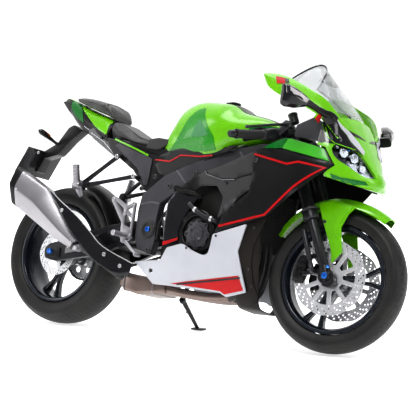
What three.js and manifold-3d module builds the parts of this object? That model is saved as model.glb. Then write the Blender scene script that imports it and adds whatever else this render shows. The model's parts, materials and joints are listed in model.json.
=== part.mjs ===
// A 1:8 radio-controlled road-racing motorcycle with full fairing, standing on its side stand.
// Every number is in millimetres of the full-size machine, and the whole model is scaled by SCALE
// once, at the end. The machine's own axes: +X forward, +Y to the rider's left, +Z up, with the
// origin on the ground midway between the wheels. The body group then leans on the side stand, and
// the steering group is turned to the left inside it.
import * as THREE from "three";
import { mergeVertices } from "three/addons/utils/BufferGeometryUtils.js";
import Module from "manifold-3d";

// ---- driving dimensions ----
const SCALE = 1 / 8;
const GAP = 3; // clearance between neighbouring pieces
const LEAN = 12; // degrees to the left
const STEER = 8.7; // degrees to the left
const RAKE = 25; // degrees
const WHEELBASE = 1450;
const TRAIL = 105;
const FRONT = { x: WHEELBASE / 2, radius: 296, halfWidth: 60, bead: 227, discRadius: 155, discY: 78 };
const REAR = { x: -WHEELBASE / 2, radius: 315, halfWidth: 95, bead: 227, discRadius: 104, discY: 86 };
const FORK_Y = 105; // fork legs each side of the middle
const PIVOT = { x: -163, z: 445 }; // swingarm pivot
const AXLE_RADIUS = 12;
const CHAIN_Y = 109;
const SPROCKET = { rear: 96, front: 32, x: -95, z: 440 };
const FAIRING_WALL = 8;
const SPOKES = 3;
const TURN_STEPS = 32; // sides of a wheel

const radians = THREE.MathUtils.degToRad;
const V = (x, y, z) => new THREE.Vector3(x, y, z);
const clamp = THREE.MathUtils.clamp;
const lerp = THREE.MathUtils.lerp;

// ---- solids: closed three.js geometry joined and cut with manifold-3d ----
const wasm = await Module();
wasm.setup();

function manifoldOf(positions, triangles) {
  const mesh = new wasm.Mesh({
    numProp: 3,
    vertProperties: new Float32Array(positions),
    triVerts: new Uint32Array(triangles),
  });
  return new wasm.Manifold(mesh);
}

function solid(geometry) {
  const bare = geometry.index ? geometry.toNonIndexed() : geometry.clone();
  bare.deleteAttribute("normal");
  bare.deleteAttribute("uv");
  const merged = mergeVertices(bare, 1e-3);
  const made = manifoldOf(merged.attributes.position.array, merged.index.array);
  if (made.volume() > 0) return made;
  const turned = Array.from(merged.index.array);
  for (let i = 0; i < turned.length; i += 3) {
    [turned[i + 1], turned[i + 2]] = [turned[i + 2], turned[i + 1]];
  }
  return manifoldOf(merged.attributes.position.array, turned);
}

function geometryOf(body) {
  const mesh = body.getMesh();
  const geometry = new THREE.BufferGeometry();
  geometry.setAttribute("position", new THREE.BufferAttribute(mesh.vertProperties, 3));
  geometry.setIndex(new THREE.BufferAttribute(mesh.triVerts, 1));
  return geometry;
}

const join = (...bodies) => bodies.reduce((all, body) => all.add(body));
const cut = (body, ...tools) => tools.reduce((left, tool) => left.subtract(tool), body);

// A flat outline of [x, z] points, seen from the side, thickened from y = low to y = high.
function sideSlab(outline, low, high) {
  const shape = new THREE.Shape(outline.map(([x, z]) => new THREE.Vector2(x, z)));
  const geometry = new THREE.ExtrudeGeometry(shape, { depth: high - low, bevelEnabled: false });
  geometry.rotateX(Math.PI / 2);
  geometry.translate(0, high, 0);
  return solid(geometry);
}

// A flat outline of [y, z] points, seen from the front, thickened from x = low to x = high.
function frontSlab(outline, low, high) {
  const shape = new THREE.Shape(outline.map(([y, z]) => new THREE.Vector2(y, z)));
  const geometry = new THREE.ExtrudeGeometry(shape, { depth: high - low, bevelEnabled: false });
  geometry.rotateX(Math.PI / 2);
  geometry.rotateZ(Math.PI / 2);
  geometry.translate(low, 0, 0);
  return solid(geometry);
}

function box(centre, size) {
  const geometry = new THREE.BoxGeometry(...size);
  geometry.translate(...centre);
  return solid(geometry);
}

// A round bar from a to b, tapering from radius to endRadius.
function bar(a, b, radius, endRadius = radius, sides = 10) {
  const start = V(...a);
  const along = V(...b).sub(start);
  const geometry = new THREE.CylinderGeometry(endRadius, radius, along.length(), sides);
  geometry.applyQuaternion(new THREE.Quaternion().setFromUnitVectors(V(0, 1, 0), along.clone().normalize()));
  const middle = start.addScaledVector(along, 0.5);
  geometry.translate(middle.x, middle.y, middle.z);
  return solid(geometry);
}

// A ring about the wheel axis (the machine's Y), from a closed profile of [radius, y] points.
function ringAbout(x, z, profile, steps = TURN_STEPS) {
  const points = [...profile, profile[0]].map(([r, y]) => new THREE.Vector2(r, y));
  const geometry = new THREE.LatheGeometry(points, steps);
  geometry.translate(x, 0, z);
  return solid(geometry);
}

const ring = (x, z, outer, inner, low, high, steps) =>
  ringAbout(x, z, [[inner, low], [outer, low], [outer, high], [inner, high]], steps);
const disc = (x, z, radius, low, high, steps = 20) => bar([x, low, z], [x, high, z], radius, radius, steps);

function indexedSolid(positions, triangles) {
  const geometry = new THREE.BufferGeometry();
  geometry.setAttribute("position", new THREE.BufferAttribute(new Float32Array(positions), 3));
  geometry.setIndex(triangles);
  return solid(geometry);
}

// The triangles of the skin between rings of count points each.
function sideTriangles(ringCount, count) {
  const triangles = [];
  for (let i = 0; i + 1 < ringCount; i++) {
    for (let j = 0; j < count; j++) {
      const a = i * count + j;
      const b = i * count + ((j + 1) % count);
      triangles.push(a, b, b + count, a, b + count, a + count);
    }
  }
  return triangles;
}

// A closed body through rings of points, capped at both ends.
function loft(rings) {
  const count = rings[0].length;
  const positions = rings.flat().flatMap((p) => [p.x, p.y, p.z]);
  const triangles = sideTriangles(rings.length, count);
  [0, rings.length - 1].forEach((end, which) => {
    const middle = rings[end].reduce((sum, p) => sum.add(p), V(0, 0, 0)).divideScalar(count);
    const centre = positions.length / 3;
    positions.push(middle.x, middle.y, middle.z);
    for (let j = 0; j < count; j++) {
      const a = end * count + j;
      const b = end * count + ((j + 1) % count);
      triangles.push(...(which ? [centre, a, b] : [centre, b, a]));
    }
  });
  return indexedSolid(positions, triangles);
}

// Like loft, for thin sections of 2 * half points whose caps are strips rather than fans.
function loftFlat(rings, half) {
  const count = rings[0].length;
  const positions = rings.flat().flatMap((p) => [p.x, p.y, p.z]);
  const triangles = sideTriangles(rings.length, count);
  [0, rings.length - 1].forEach((end, which) => {
    for (let j = 0; j + 1 < half; j++) {
      const a = end * count + j;
      const b = a + 1;
      const c = end * count + (count - 2 - j);
      const d = c + 1;
      triangles.push(...(which ? [a, b, c, a, c, d] : [a, c, b, a, d, c]));
    }
  });
  return indexedSolid(positions, triangles);
}

// A thin wall under a grid of points: rows of equal length, thickened along the surface normal.
function sheet(rows, wall) {
  const lastRow = rows.length - 1;
  const lastPoint = rows[0].length - 1;
  const normalAt = (i, j) => {
    const down = rows[Math.min(i + 1, lastRow)][j].clone().sub(rows[Math.max(i - 1, 0)][j]);
    const across = rows[i][Math.min(j + 1, lastPoint)].clone().sub(rows[i][Math.max(j - 1, 0)]);
    return down.cross(across).normalize();
  };
  const sections = rows.map((row, i) => {
    const under = row.map((p, j) => p.clone().addScaledVector(normalAt(i, j), wall));
    return [...row, ...under.reverse()];
  });
  return loftFlat(sections, lastPoint + 1);
}

// A body panel: a side outline on a curved skin y = -halfWidth(x, z), with the wall inside it.
function panel(outline, halfWidth, wall = FAIRING_WALL, cell = 75) {
  const xs = outline.map((p) => p[0]);
  const zs = outline.map((p) => p[1]);
  const [x0, x1] = [Math.min(...xs) - 5, Math.max(...xs) + 5];
  const [z0, z1] = [Math.min(...zs) - 5, Math.max(...zs) + 5];
  const columns = Math.ceil((x1 - x0) / cell);
  const levels = Math.ceil((z1 - z0) / cell);
  const rings = [];
  for (let i = 0; i <= columns; i++) {
    const x = lerp(x0, x1, i / columns);
    const skin = [];
    const under = [];
    for (let j = 0; j <= levels; j++) {
      const z = lerp(z0, z1, j / levels);
      const y = -halfWidth(x, z);
      skin.push(V(x, y, z));
      under.unshift(V(x, y + wall, z));
    }
    rings.push([...skin, ...under]);
  }
  return loftFlat(rings, levels + 1).intersect(sideSlab(outline, -400, 400));
}

// Half a section as [y, z] points from the top middle round to the bottom middle, made whole.
function wholeRing(x, half) {
  const right = half.map(([y, z]) => V(x, -y, z));
  const left = half.slice(1, -1).reverse().map(([y, z]) => V(x, y, z));
  return [...right, ...left];
}

// ---- finishes ----
const finish = (color, roughness, metalness = 0, opacity = 1) =>
  new THREE.MeshStandardMaterial({ color, roughness, metalness, opacity, transparent: opacity < 1 });
const FINISH = {
  lime: finish(0x74c41a, 0.3),
  black: finish(0x141416, 0.4),
  white: finish(0xc9cbd2, 0.35),
  darkMetal: finish(0x2c2c30, 0.45, 0.6),
  castMetal: finish(0x3a3a3c, 0.55, 0.6),
  blackMetal: finish(0x101013, 0.4, 0.5),
  steel: finish(0xc4c6ca, 0.3, 1),
  silver: finish(0xb4b6ba, 0.4, 0.9),
  titanium: finish(0x8d8079, 0.35, 0.9),
  rubber: finish(0x1a1a1a, 0.8),
  seat: finish(0x161616, 0.6),
  clear: finish(0xdfe6ea, 0.05, 0, 0.3),
  lens: finish(0xbfc8cf, 0.1, 0, 0.6),
  blue: finish(0x2348a0, 0.5),
  board: finish(0x1c5a38, 0.6),
};

// ---- scene graph ----
const model = new THREE.Group();
const lean = new THREE.Group();
const steering = new THREE.Group();
lean.rotation.x = radians(-LEAN);
model.add(lean);

// The fork's own frame: origin where the steering axis meets the ground, +Z up along that axis.
const rakeFrame = new THREE.Group();
rakeFrame.position.set(WHEELBASE / 2 + TRAIL, 0, 0);
rakeFrame.rotation.y = radians(-RAKE);
steering.rotation.z = radians(STEER);
rakeFrame.add(steering);
lean.add(rakeFrame);

function place(parent, name, body, material, mirrored = false) {
  const mesh = new THREE.Mesh(geometryOf(body), FINISH[material]);
  mesh.name = name;
  if (mirrored) mesh.scale.y = -1;
  parent.add(mesh);
}

function placePair(parent, name, body, material) {
  place(parent, `${name}_right`, body, material);
  place(parent, `${name}_left`, body, material, true);
}

// ---- wheels ----
function tyre(wheel, x, z) {
  const w = wheel.halfWidth;
  const h = wheel.radius - wheel.bead;
  const rightHalf = [[0, 0.8], [0.3, 0.97], [0.57, 1], [0.86, 0.68], [0.97, 0.34]];
  const section = (side) => rightHalf.map(([rise, out]) => [wheel.bead + rise * h, side * out * w]);
  const inner = [[wheel.bead, 0.8 * w - 12], [wheel.radius - 22, 0.55 * w], [wheel.radius - 22, -0.55 * w]];
  inner.push([wheel.bead, 12 - 0.8 * w]);
  return ringAbout(x, z, [...section(-1), [wheel.radius, 0], ...section(1).reverse(), ...inner]);
}

function rim(wheel, x, z, hubHalf, firstSpoke) {
  const w = 0.84 * wheel.halfWidth;
  const outer = wheel.bead - GAP;
  const barrel = ringAbout(x, z, [
    [outer - 12, -w], [outer, -w], [outer, w], [outer - 12, w], [outer - 26, 0.4 * w], [outer - 26, -0.4 * w],
  ]);
  const hub = disc(x, z, 42, -hubHalf, hubHalf);
  const spokes = [];
  for (let i = 0; i < SPOKES; i++) {
    [-11, 11].forEach((splay) => {
      const angle = radians(firstSpoke + (i * 360) / SPOKES);
      const tip = angle + radians(splay);
      const from = [x + 30 * Math.cos(angle), 0, z + 30 * Math.sin(angle)];
      const to = [x + (outer - 16) * Math.cos(tip), 0, z + (outer - 16) * Math.sin(tip)];
      spokes.push(bar(from, to, 17, 12, 8));
    });
  }
  const bore = disc(x, z, AXLE_RADIUS + GAP, -hubHalf - 5, hubHalf + 5, 16);
  return cut(join(barrel, hub, ...spokes), bore);
}

// The front wheel's centre in the fork's frame.
const forkOffset = WHEELBASE / 2 - FRONT.x - TRAIL;
const WHEEL_U = forkOffset * Math.cos(radians(RAKE)) + FRONT.radius * Math.sin(radians(RAKE));
const WHEEL_W = -forkOffset * Math.sin(radians(RAKE)) + FRONT.radius * Math.cos(radians(RAKE));

const discCarrier = (x, z, radius, y, bore) =>
  ring(x, z, radius, bore, y - 3, y + 3);

const frontHub = FRONT.discY - 8;
place(steering, "front_rim", rim(FRONT, WHEEL_U, WHEEL_W, frontHub, 8 - RAKE), "blackMetal");
place(steering, "front_tyre", tyre(FRONT, WHEEL_U, WHEEL_W), "rubber");
placePair(steering, "front_disc", discCarrier(WHEEL_U, WHEEL_W, FRONT.discRadius, -FRONT.discY, 24), "steel");
const frontAxle = bar([WHEEL_U, -128, WHEEL_W], [WHEEL_U, 128, WHEEL_W], AXLE_RADIUS);

place(lean, "rear_rim", rim(REAR, REAR.x, REAR.radius, 76, -112), "blackMetal");
place(lean, "rear_tyre", tyre(REAR, REAR.x, REAR.radius), "rubber");
place(lean, "rear_disc", discCarrier(REAR.x, REAR.radius, REAR.discRadius, -REAR.discY, 24), "steel");
const sprocketFace = [CHAIN_Y - 4, CHAIN_Y + 4];
const rearSprocket = ringAbout(REAR.x, REAR.radius, [
  [24, 79], [40, 79], [40, sprocketFace[0]], [SPROCKET.rear - 10, sprocketFace[0]],
  [SPROCKET.rear - 10, sprocketFace[1]], [24, sprocketFace[1]],
]);
place(lean, "rear_sprocket", rearSprocket, "silver");

// ---- fork, in the fork's frame ----
const FORK_TUBE = { radius: 27, bore: 24, low: 560, top: 995 };
const SLIDER = { radius: 20, top: 700 };
const STEM_RADIUS = 14;
const HEADSTOCK = { low: 845, top: 958, radius: 30 };
const CALIPER = { angle: 145, radius: 128, size: [62, 44, 112] };

// A point of the machine's side view, [x, z], in the fork's frame.
function toFork([x, z]) {
  const dx = x - (WHEELBASE / 2 + TRAIL);
  const [c, s] = [Math.cos(radians(RAKE)), Math.sin(radians(RAKE))];
  return [dx * c + z * s, z * c - dx * s];
}

const upright = (u, v, low, high, radius, sides = 12) =>
  bar([u, v, low], [u, v, high], radius, radius, sides);

function forkTube() {
  const { radius, bore, low, top } = FORK_TUBE;
  const collar = upright(WHEEL_U, -FORK_Y, low, low + 42, radius + 6);
  const tube = join(upright(WHEEL_U, -FORK_Y, low, top, radius), collar);
  return cut(tube, upright(WHEEL_U, -FORK_Y, low - 1, top - 12, bore));
}

function caliper() {
  const [deep, wide, long] = CALIPER.size;
  const geometry = new THREE.BoxGeometry(deep, wide, long);
  geometry.translate(CALIPER.radius, -80, 0);
  geometry.rotateY(radians(-CALIPER.angle));
  geometry.translate(WHEEL_U, 0, WHEEL_W);
  return solid(geometry);
}

function forkSlider() {
  const leg = upright(WHEEL_U, -FORK_Y, WHEEL_W, SLIDER.top, SLIDER.radius);
  const clampBlock = disc(WHEEL_U, WHEEL_W, 36, -127, -85, 20);
  const arms = [20, 90].map((rise) =>
    bar([WHEEL_U, -100, WHEEL_W + rise], [WHEEL_U - 100, -97, WHEEL_W + 30 + rise * 0.9], 9, 9, 8));
  const rotorSlot = ring(WHEEL_U, WHEEL_W, FRONT.discRadius + 8, 20, -FRONT.discY - 6, -FRONT.discY + 6);
  const bore = disc(WHEEL_U, WHEEL_W, AXLE_RADIUS + GAP, -130, -80, 16);
  return cut(join(leg, clampBlock, caliper(), ...arms), rotorSlot, bore);
}

// The front mudguard hugs the tyre from behind the fork to its front tip.
function frontFender() {
  const stations = [[30, 40, 336], [45, 66, 334], [60, 84, 333], [71, 88, 333], [78, 71, 333], [90, 69, 332],
    [110, 73, 328], [125, 66, 318]];
  const across = [-1, -0.75, 0, 0.75, 1];
  const rows = stations.map(([turn, half, crown]) => across.map((side) => {
    const reach = crown - 34 * Math.abs(side) ** 2.4;
    const angle = radians(turn);
    return V(WHEEL_U + reach * Math.cos(angle), half * side, WHEEL_W + reach * Math.sin(angle));
  }));
  const legOutline = [[634, 590], [657, 536], [716, 410], [728, 353], [770, 399], [742, 489],
    [770, 560], [800, 589], [700, 608]];
  const leg = sideSlab(legOutline.map(toFork), -92, -85);
  const otherLeg = sideSlab(legOutline.map(toFork), 85, 92);
  return join(sheet(rows, 5), leg, otherLeg);
}

function steeringStem() {
  const stem = upright(0, 0, HEADSTOCK.low - 30, HEADSTOCK.top + 27, STEM_RADIUS);
  const lowClamp = box([20, 0, HEADSTOCK.low - 17], [98, 290, 26]);
  const topClamp = box([20, 0, HEADSTOCK.top + 14], [94, 286, 18]);
  const holes = [-1, 1].map((side) => upright(WHEEL_U, side * FORK_Y, 780, 1000, FORK_TUBE.radius + GAP));
  return cut(join(stem, lowClamp, topClamp), ...holes);
}

// Handlebar, right side: from the clamp under the top yoke out and back to the bar end.
const BAR_START = V(14, -135, 944);
const BAR_END = V(-118, -355, 938);
const BAR_RADIUS = 11;
const GRIP = { from: 0.36, to: 0.93, radius: 18 };
const alongBar = (t) => BAR_START.clone().lerp(BAR_END, t).toArray();
const LEVER_PIVOT = V(70, -190, 950);
const LEVER_TIP = V(-46, -362, 938);

function handlebar() {
  const clampRing = upright(WHEEL_U, -FORK_Y, 928, 954, FORK_TUBE.radius + 13);
  const tube = bar(alongBar(0), alongBar(1), BAR_RADIUS);
  const switchBox = bar(alongBar(0.14), alongBar(0.33), 24, 22, 10);
  const perch = bar(alongBar(0.2), LEVER_PIVOT.clone().add(V(-12, 6, 0)).toArray(), 8, 8, 8);
  const barEnd = bar(alongBar(0.95), alongBar(1.06), 16, 13);
  const forkHole = upright(WHEEL_U, -FORK_Y, 900, 970, FORK_TUBE.radius + GAP);
  return cut(join(clampRing, tube, switchBox, perch, barEnd), forkHole);
}

const RESERVOIR = { u: 84, v: -158, low: 960, high: 1004, radius: 19 };
const reservoir = join(
  upright(RESERVOIR.u, RESERVOIR.v, RESERVOIR.low, RESERVOIR.high, RESERVOIR.radius),
  bar(alongBar(0.2), [RESERVOIR.u, RESERVOIR.v, RESERVOIR.low + 12], 6, 6, 8),
);
const grip = bar(alongBar(GRIP.from), alongBar(GRIP.to), GRIP.radius);
const throttleGrip = cut(grip, bar(alongBar(0.3), alongBar(0.99), BAR_RADIUS + GAP));
const lever = join(
  bar(LEVER_PIVOT.toArray(), LEVER_TIP.toArray(), 8, 5, 10),
  bar(LEVER_PIVOT.clone().add(V(0, 0, -9)).toArray(), LEVER_PIVOT.clone().add(V(0, 0, 9)).toArray(), 11),
);

place(steering, "steering_stem", steeringStem(), "castMetal");
placePair(steering, "fork_tube", forkTube(), "blackMetal");
place(steering, "handlebar_right", join(handlebar(), reservoir), "blackMetal");
place(steering, "handlebar_left", join(handlebar(), grip), "blackMetal", true);
place(steering, "throttle_grip", throttleGrip, "rubber");
place(steering, "brake_lever", lever, "blackMetal");
place(steering, "clutch_lever", lever, "blackMetal", true);
const axlePlug = disc(WHEEL_U, WHEEL_W, 24, -128, -90, 16);
place(steering, "fork_slider_right", join(forkSlider(), frontAxle, axlePlug), "blackMetal");
place(steering, "fork_slider_left", forkSlider(), "blackMetal", true);
place(steering, "front_fender", frontFender(), "lime");

// ---- frame and running gear ----
// Half width of the twin-spar frame: wide at the swingarm pivot, narrow at the steering head.
function frameHalf(x) {
  if (x < 0) return 150;
  if (x < 150) return lerp(150, 128, x / 150);
  return lerp(128, 85, (x - 150) / 235);
}
const SPAR = [[372, 840], [340, 838], [240, 814], [60, 750], [-110, 680], [-222, 592], [-233, 520],
  [-230, 400],
  [-210, 352], [-134, 330], [-120, 400], [-128, 480], [-118, 560], [52, 668], [200, 708], [330, 752],
  [372, 767]];

function steeringAxisPoint(along) {
  return [WHEELBASE / 2 + TRAIL - along * Math.sin(radians(RAKE)), 0, along * Math.cos(radians(RAKE))];
}

function frame() {
  const right = panel(SPAR, frameHalf, 28, 110);
  const geometry = geometryOf(right);
  geometry.scale(1, -1, 1);
  const left = solid(geometry);
  const head = bar(steeringAxisPoint(HEADSTOCK.low), steeringAxisPoint(HEADSTOCK.top), HEADSTOCK.radius);
  const gusset = box([392, 0, 806], [68, 124, 52]);
  const boreEnds = [HEADSTOCK.low - 20, HEADSTOCK.top + 20].map(steeringAxisPoint);
  const bore = bar(...boreEnds, STEM_RADIUS + GAP);
  const crossTube = bar([-165, -130, 600], [-165, 130, 600], 16);
  const standBracket = join(
    bar([-165, 132, 345], [-92, 104, 232], 11, 11, 8),
    bar([-92, 104, 232], [-92, 76, 200], 10, 10, 8),
  );
  return cut(join(right, left, head, gusset, crossTube, standBracket), bore);
}

// The rear subframe carries the seats, the side covers under them and the passenger's footrest hangers.
const SEAT_COVER = [[-115, 742], [-225, 768], [-440, 845], [-505, 850], [-455, 772], [-398, 748], [-290, 676],
  [-242, 612], [-215, 625], [-115, 700]];
function subframe() {
  const tube = (a, b, radius) => bar(a, b, radius, radius, 6);
  const parts = [tube([-170, -75, 700], [-170, 75, 700], 10), tube([-420, -64, 798], [-420, 64, 798], 9)];
  [-1, 1].forEach((side) => {
    parts.push(tube([-168, side * 72, 698], [-640, side * 52, 885], 10));
    parts.push(tube([-240, side * 72, 606], [-440, side * 64, 803], 9));
    parts.push(tube([-170, side * 72, 700], [-240, side * 72, 606], 9));
    parts.push(tube([-398, side * 62, 789], [-398, side * 142, 758], 8));
    parts.push(tube([-288, side * 66, 653], [-288, side * 142, 672], 8));
    parts.push(tube([-398, side * 142, 758], [-572, side * 152, 632], 9));
    parts.push(tube([-288, side * 142, 672], [-572, side * 152, 618], 9));
    parts.push(disc(-580, 618, 20, side > 0 ? 140 : -160, side > 0 ? 160 : -140, 10));
    parts.push(sideSlab(SEAT_COVER, side > 0 ? 122 : -128, side > 0 ? 128 : -122));
  });
  return join(...parts);
}

const MOTOR = { x: 60, z: 430, radius: 54 };
function engineBlock() {
  const cases = sideSlab([[-100, 262], [230, 250], [298, 330], [290, 480], [200, 560], [-60, 560],
    [-106, 480]], -95, 95);
  const cylinders = sideSlab([[70, 540], [285, 470], [322, 560], [305, 690], [150, 660]], -92, 92);
  const cradle = sideSlab([[-30, 340], [190, 330], [205, 500], [-40, 520]], -150, -95);
  const pocket = disc(MOTOR.x, MOTOR.z, MOTOR.radius + 6, -60, 99, 24);
  const clutchSeat = disc(117, 431, 60, -160, -120, 24);
  return cut(join(cases, cylinders, cradle), pocket, clutchSeat);
}

const CLUTCH_PETALS = 6;
function clutchCover() {
  const dome = join(disc(117, 431, 54, -172, -124), disc(117, 431, 34, -180, -172));
  const petals = Array.from({ length: CLUTCH_PETALS }, (_, i) => {
    const angle = radians((i * 360) / CLUTCH_PETALS + 12);
    return disc(117 + 58 * Math.cos(angle), 431 + 58 * Math.sin(angle), 13, -168, -153, 7);
  });
  return join(dome, ...petals);
}

place(lean, "frame", frame(), "castMetal");
place(lean, "subframe", subframe(), "blackMetal");
place(lean, "engine_block", engineBlock(), "castMetal");
place(lean, "clutch_cover", clutchCover(), "darkMetal");
const generatorCover = join(disc(MOTOR.x, MOTOR.z, 66, 98, 128), disc(MOTOR.x, MOTOR.z, 48, 128, 142));
place(lean, "generator_cover", generatorCover, "darkMetal");
place(lean, "radiator", sideSlab([[318, 392], [346, 388], [388, 640], [360, 645]], -150, 150), "darkMetal");

// ---- swingarm, chain and rear wheel guard ----
const ARM = [[-248, 480], [-252, 400], [-420, 322], [-700, 272], [-762, 285], [-768, 330], [-740, 352],
  [-560, 400],
  [-400, 452]];
function swingarm() {
  const right = sideSlab(ARM, -130, -102);
  const left = sideSlab(ARM, 122, 150);
  const bridge = sideSlab([[-385, 352], [-300, 362], [-300, 428], [-385, 424]], -128, 148);
  const lugs = [[-117, -76], [58, 97]].map(([low, high]) =>
    sideSlab([[-320, 372], [-170, 415], [-140, 445], [-163, 475], [-320, 424]], low, high));
  const pivotTube = disc(PIVOT.x, PIVOT.z, 26, -117, 97, 16);
  const axle = disc(REAR.x, REAR.radius, AXLE_RADIUS, -140, 158, 16);
  return join(right, left, bridge, ...lugs, pivotTube, axle);
}

// An endless chain round the two sprockets, as a band of even thickness.
function driveChain() {
  const loop = (grow) => {
    const shape = new THREE.Shape();
    const ends = [
      [REAR.x, REAR.radius, SPROCKET.rear + grow],
      [SPROCKET.x, SPROCKET.z, SPROCKET.front + grow],
    ];
    const across = Math.hypot(ends[1][0] - ends[0][0], ends[1][1] - ends[0][1]);
    const tilt = Math.atan2(ends[1][1] - ends[0][1], ends[1][0] - ends[0][0]);
    const open = Math.acos((ends[0][2] - ends[1][2]) / across);
    shape.absarc(ends[0][0], ends[0][1], ends[0][2], tilt + open, tilt - open + 2 * Math.PI, false);
    shape.absarc(ends[1][0], ends[1][1], ends[1][2], tilt - open, tilt + open, false);
    const points = shape.getPoints(10);
    return points.filter((p, i) => i === 0 || p.distanceTo(points[i - 1]) > 0.5).map((p) => [p.x, p.y]);
  };
  const band = sideSlab(loop(9), CHAIN_Y - 8, CHAIN_Y + 8);
  return cut(band, sideSlab(loop(-4), CHAIN_Y - 9, CHAIN_Y + 9));
}

function rearHugger() {
  const rows = [16, 28, 40, 52, 64, 73].map((turn, i) => [-1, -0.6, 0, 0.6, 1].map((side) => {
    const reach = 336 + i * 4 - 26 * Math.abs(side) ** 2;
    const half = i === 5 ? 70 : 92;
    const angle = radians(turn);
    return V(REAR.x + reach * Math.cos(angle), side * half, REAR.radius + reach * Math.sin(angle));
  }));
  return sheet(rows.reverse(), -5);
}

// The drive sprocket clears the chain loop by enough for the chain to swing round the arm's pivot.
const CHAIN_SWING = 12.5;
const sprocketRadius = SPROCKET.front - CHAIN_SWING;
const frontSprocket = ring(SPROCKET.x, SPROCKET.z, sprocketRadius, 8, CHAIN_Y - 4, CHAIN_Y + 4, 20);
place(lean, "swingarm", swingarm(), "blackMetal");
place(lean, "drive_chain", driveChain(), "darkMetal");
place(lean, "drive_sprocket", frontSprocket, "silver");
place(lean, "rear_hugger", rearHugger(), "black");
place(lean, "rear_shock", bar([-318, 0, 440], [-245, 0, 612], 30, 30), "silver");

// ---- exhaust ----
function exhaust() {
  const pipes = [-60, 18].map((y) =>
    join(bar([-110, y, 205], [285, y, 184], 34), bar([285, y, 184], [314, y, 296], 26)));
  const chamber = sideSlab([[-292, 226], [-288, 190], [-222, 164], [-105, 180], [-100, 240],
    [-285, 246]], -140, 50);
  const link = join(bar([-268, -112, 222], [-400, -162, 296], 24), bar([-400, -162, 296],
    [-458, -171, 330], 24));
  const joint = bar([-396, -161, 293], [-404, -163, 299], 26);
  return join(...pipes, chamber, link, joint);
}

// A silencer of six flat faces that swells towards its end.
const FACET = 0.45; // the top and bottom faces' share of its width
function muffler() {
  const stations = [
    [[-478, 345], [-532, 318], -172, 34],
    [[-566, 436], [-640, 362], -185, 49],
    [[-713, 588], [-790, 452], -212, 62],
    [[-889, 679], [-889, 509], -232, 62],
  ];
  const rings = stations.map(([top, low, y, half]) => {
    const middle = [(top[0] + low[0]) / 2, (top[1] + low[1]) / 2];
    return [
      V(top[0], y + half * FACET, top[1]), V(top[0], y - half * FACET, top[1]),
      V(middle[0], y - half, middle[1]), V(low[0], y - half * FACET, low[1]),
      V(low[0], y + half * FACET, low[1]), V(middle[0], y + half, middle[1]),
    ];
  });
  return loft(rings);
}

function mufflerShield() {
  const edges = [[[-681, 581], [-668, 556], -240], [[-600, 530], [-556, 438], -246], [[-505, 468],
    [-470, 362], -230],
    [[-430, 405], [-396, 304], -216], [[-356, 346], [-300, 264], -204], [[-193, 284], [-205, 232], -186]];
  const rows = edges.map(([top, low, y]) => [0, 0.5, 1].map((t) =>
    V(lerp(top[0], low[0], t), y - (t === 0.5 ? 6 : 0), lerp(top[1], low[1], t))));
  return sheet(rows, 5);
}

place(lean, "exhaust", exhaust(), "titanium");
place(lean, "muffler", muffler(), "titanium");
place(lean, "muffler_shield", mufflerShield(), "blackMetal");

// ---- tank, seats and tail ----
// A closed body of [x, half width, top, bottom] stations with rounded shoulders.
function stationBody(stations, roundness = 0.55) {
  return loft(stations.map(([x, half, top, low]) => {
    const middle = lerp(low, top, 0.45);
    return wholeRing(x, [
      [0, top], [half * 0.45, lerp(top, middle, 0.06)], [half * 0.8, lerp(top, middle, roundness * 0.6)],
      [half, middle], [half * 0.94, lerp(low, middle, 0.35)], [half * 0.8, low], [0, low],
    ]);
  }));
}

const TANK = [[-192, 70, 852, 762], [-160, 104, 902, 758], [-126, 118, 968, 756], [-94, 127, 1008, 756],
  [-20, 147, 1031, 764], [72, 165, 1026, 776], [145, 171, 1015, 792], [205, 163, 981, 822],
  [300, 136, 960, 846],
  [350, 92, 945, 862], [358, 76, 940, 897], [408, 42, 918, 900]];
const tankPocket = box([80, 0, 830], [330, 150, 180]);
place(lean, "fuel_tank", cut(stationBody(TANK), tankPocket), "lime");
place(lean, "battery_pack", box([70, 0, 852], [280, 110, 84]), "blue");

const RIDER_SEAT = [[-199, 66, 846, 806], [-250, 94, 852, 808], [-344, 118, 864, 822],
  [-400, 120, 888, 838],
  [-450, 118, 912, 846], [-496, 108, 938, 856]];
const PILLION_SEAT = [[-516, 72, 968, 934], [-548, 88, 1014, 956], [-610, 88, 1030, 976],
  [-700, 72, 1048, 1006],
  [-786, 42, 1060, 1036]];
const TAIL = [[-504, 114, 922, 812], [-560, 108, 954, 832], [-650, 94, 980, 872],
  [-740, 74, 1012, 924], [-820, 46, 1044, 992], [-872, 16, 1053, 1030]];
const tailHollow = stationBody([[-494, 102, 902, 700], [-560, 96, 938, 700], [-650, 82, 964, 700],
  [-740, 60, 992, 700]]);
place(lean, "rider_seat", stationBody(RIDER_SEAT, 0.4), "seat");
place(lean, "pillion_seat", stationBody(PILLION_SEAT, 0.4), "seat");
place(lean, "tail_cowl", cut(stationBody(TAIL), tailHollow), "lime");

const HANGER = [[-735, 900], [-790, 926], [-822, 912], [-880, 836], [-964, 792], [-1004, 702],
  [-984, 694], [-948, 762],
  [-868, 782], [-800, 850]];
function plateHanger() {
  const indicators = [-1, 1].map((side) => join(
    bar([-868, 0, 822], [-915, side * 100, 866], 7, 7, 8),
    bar([-918, side * 112, 850], [-916, side * 116, 902], 17, 13, 10),
    bar([-915, side * 98, 866], [-917, side * 114, 868], 10, 10, 8),
  ));
  return join(sideSlab(HANGER, -26, 26), ...indicators);
}
place(lean, "plate_hanger", plateHanger(), "black");
place(lean, "number_plate", sideSlab([[-968, 798], [-1034, 680], [-1040, 683],
  [-974, 801]], -117, 117), "black");

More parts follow.
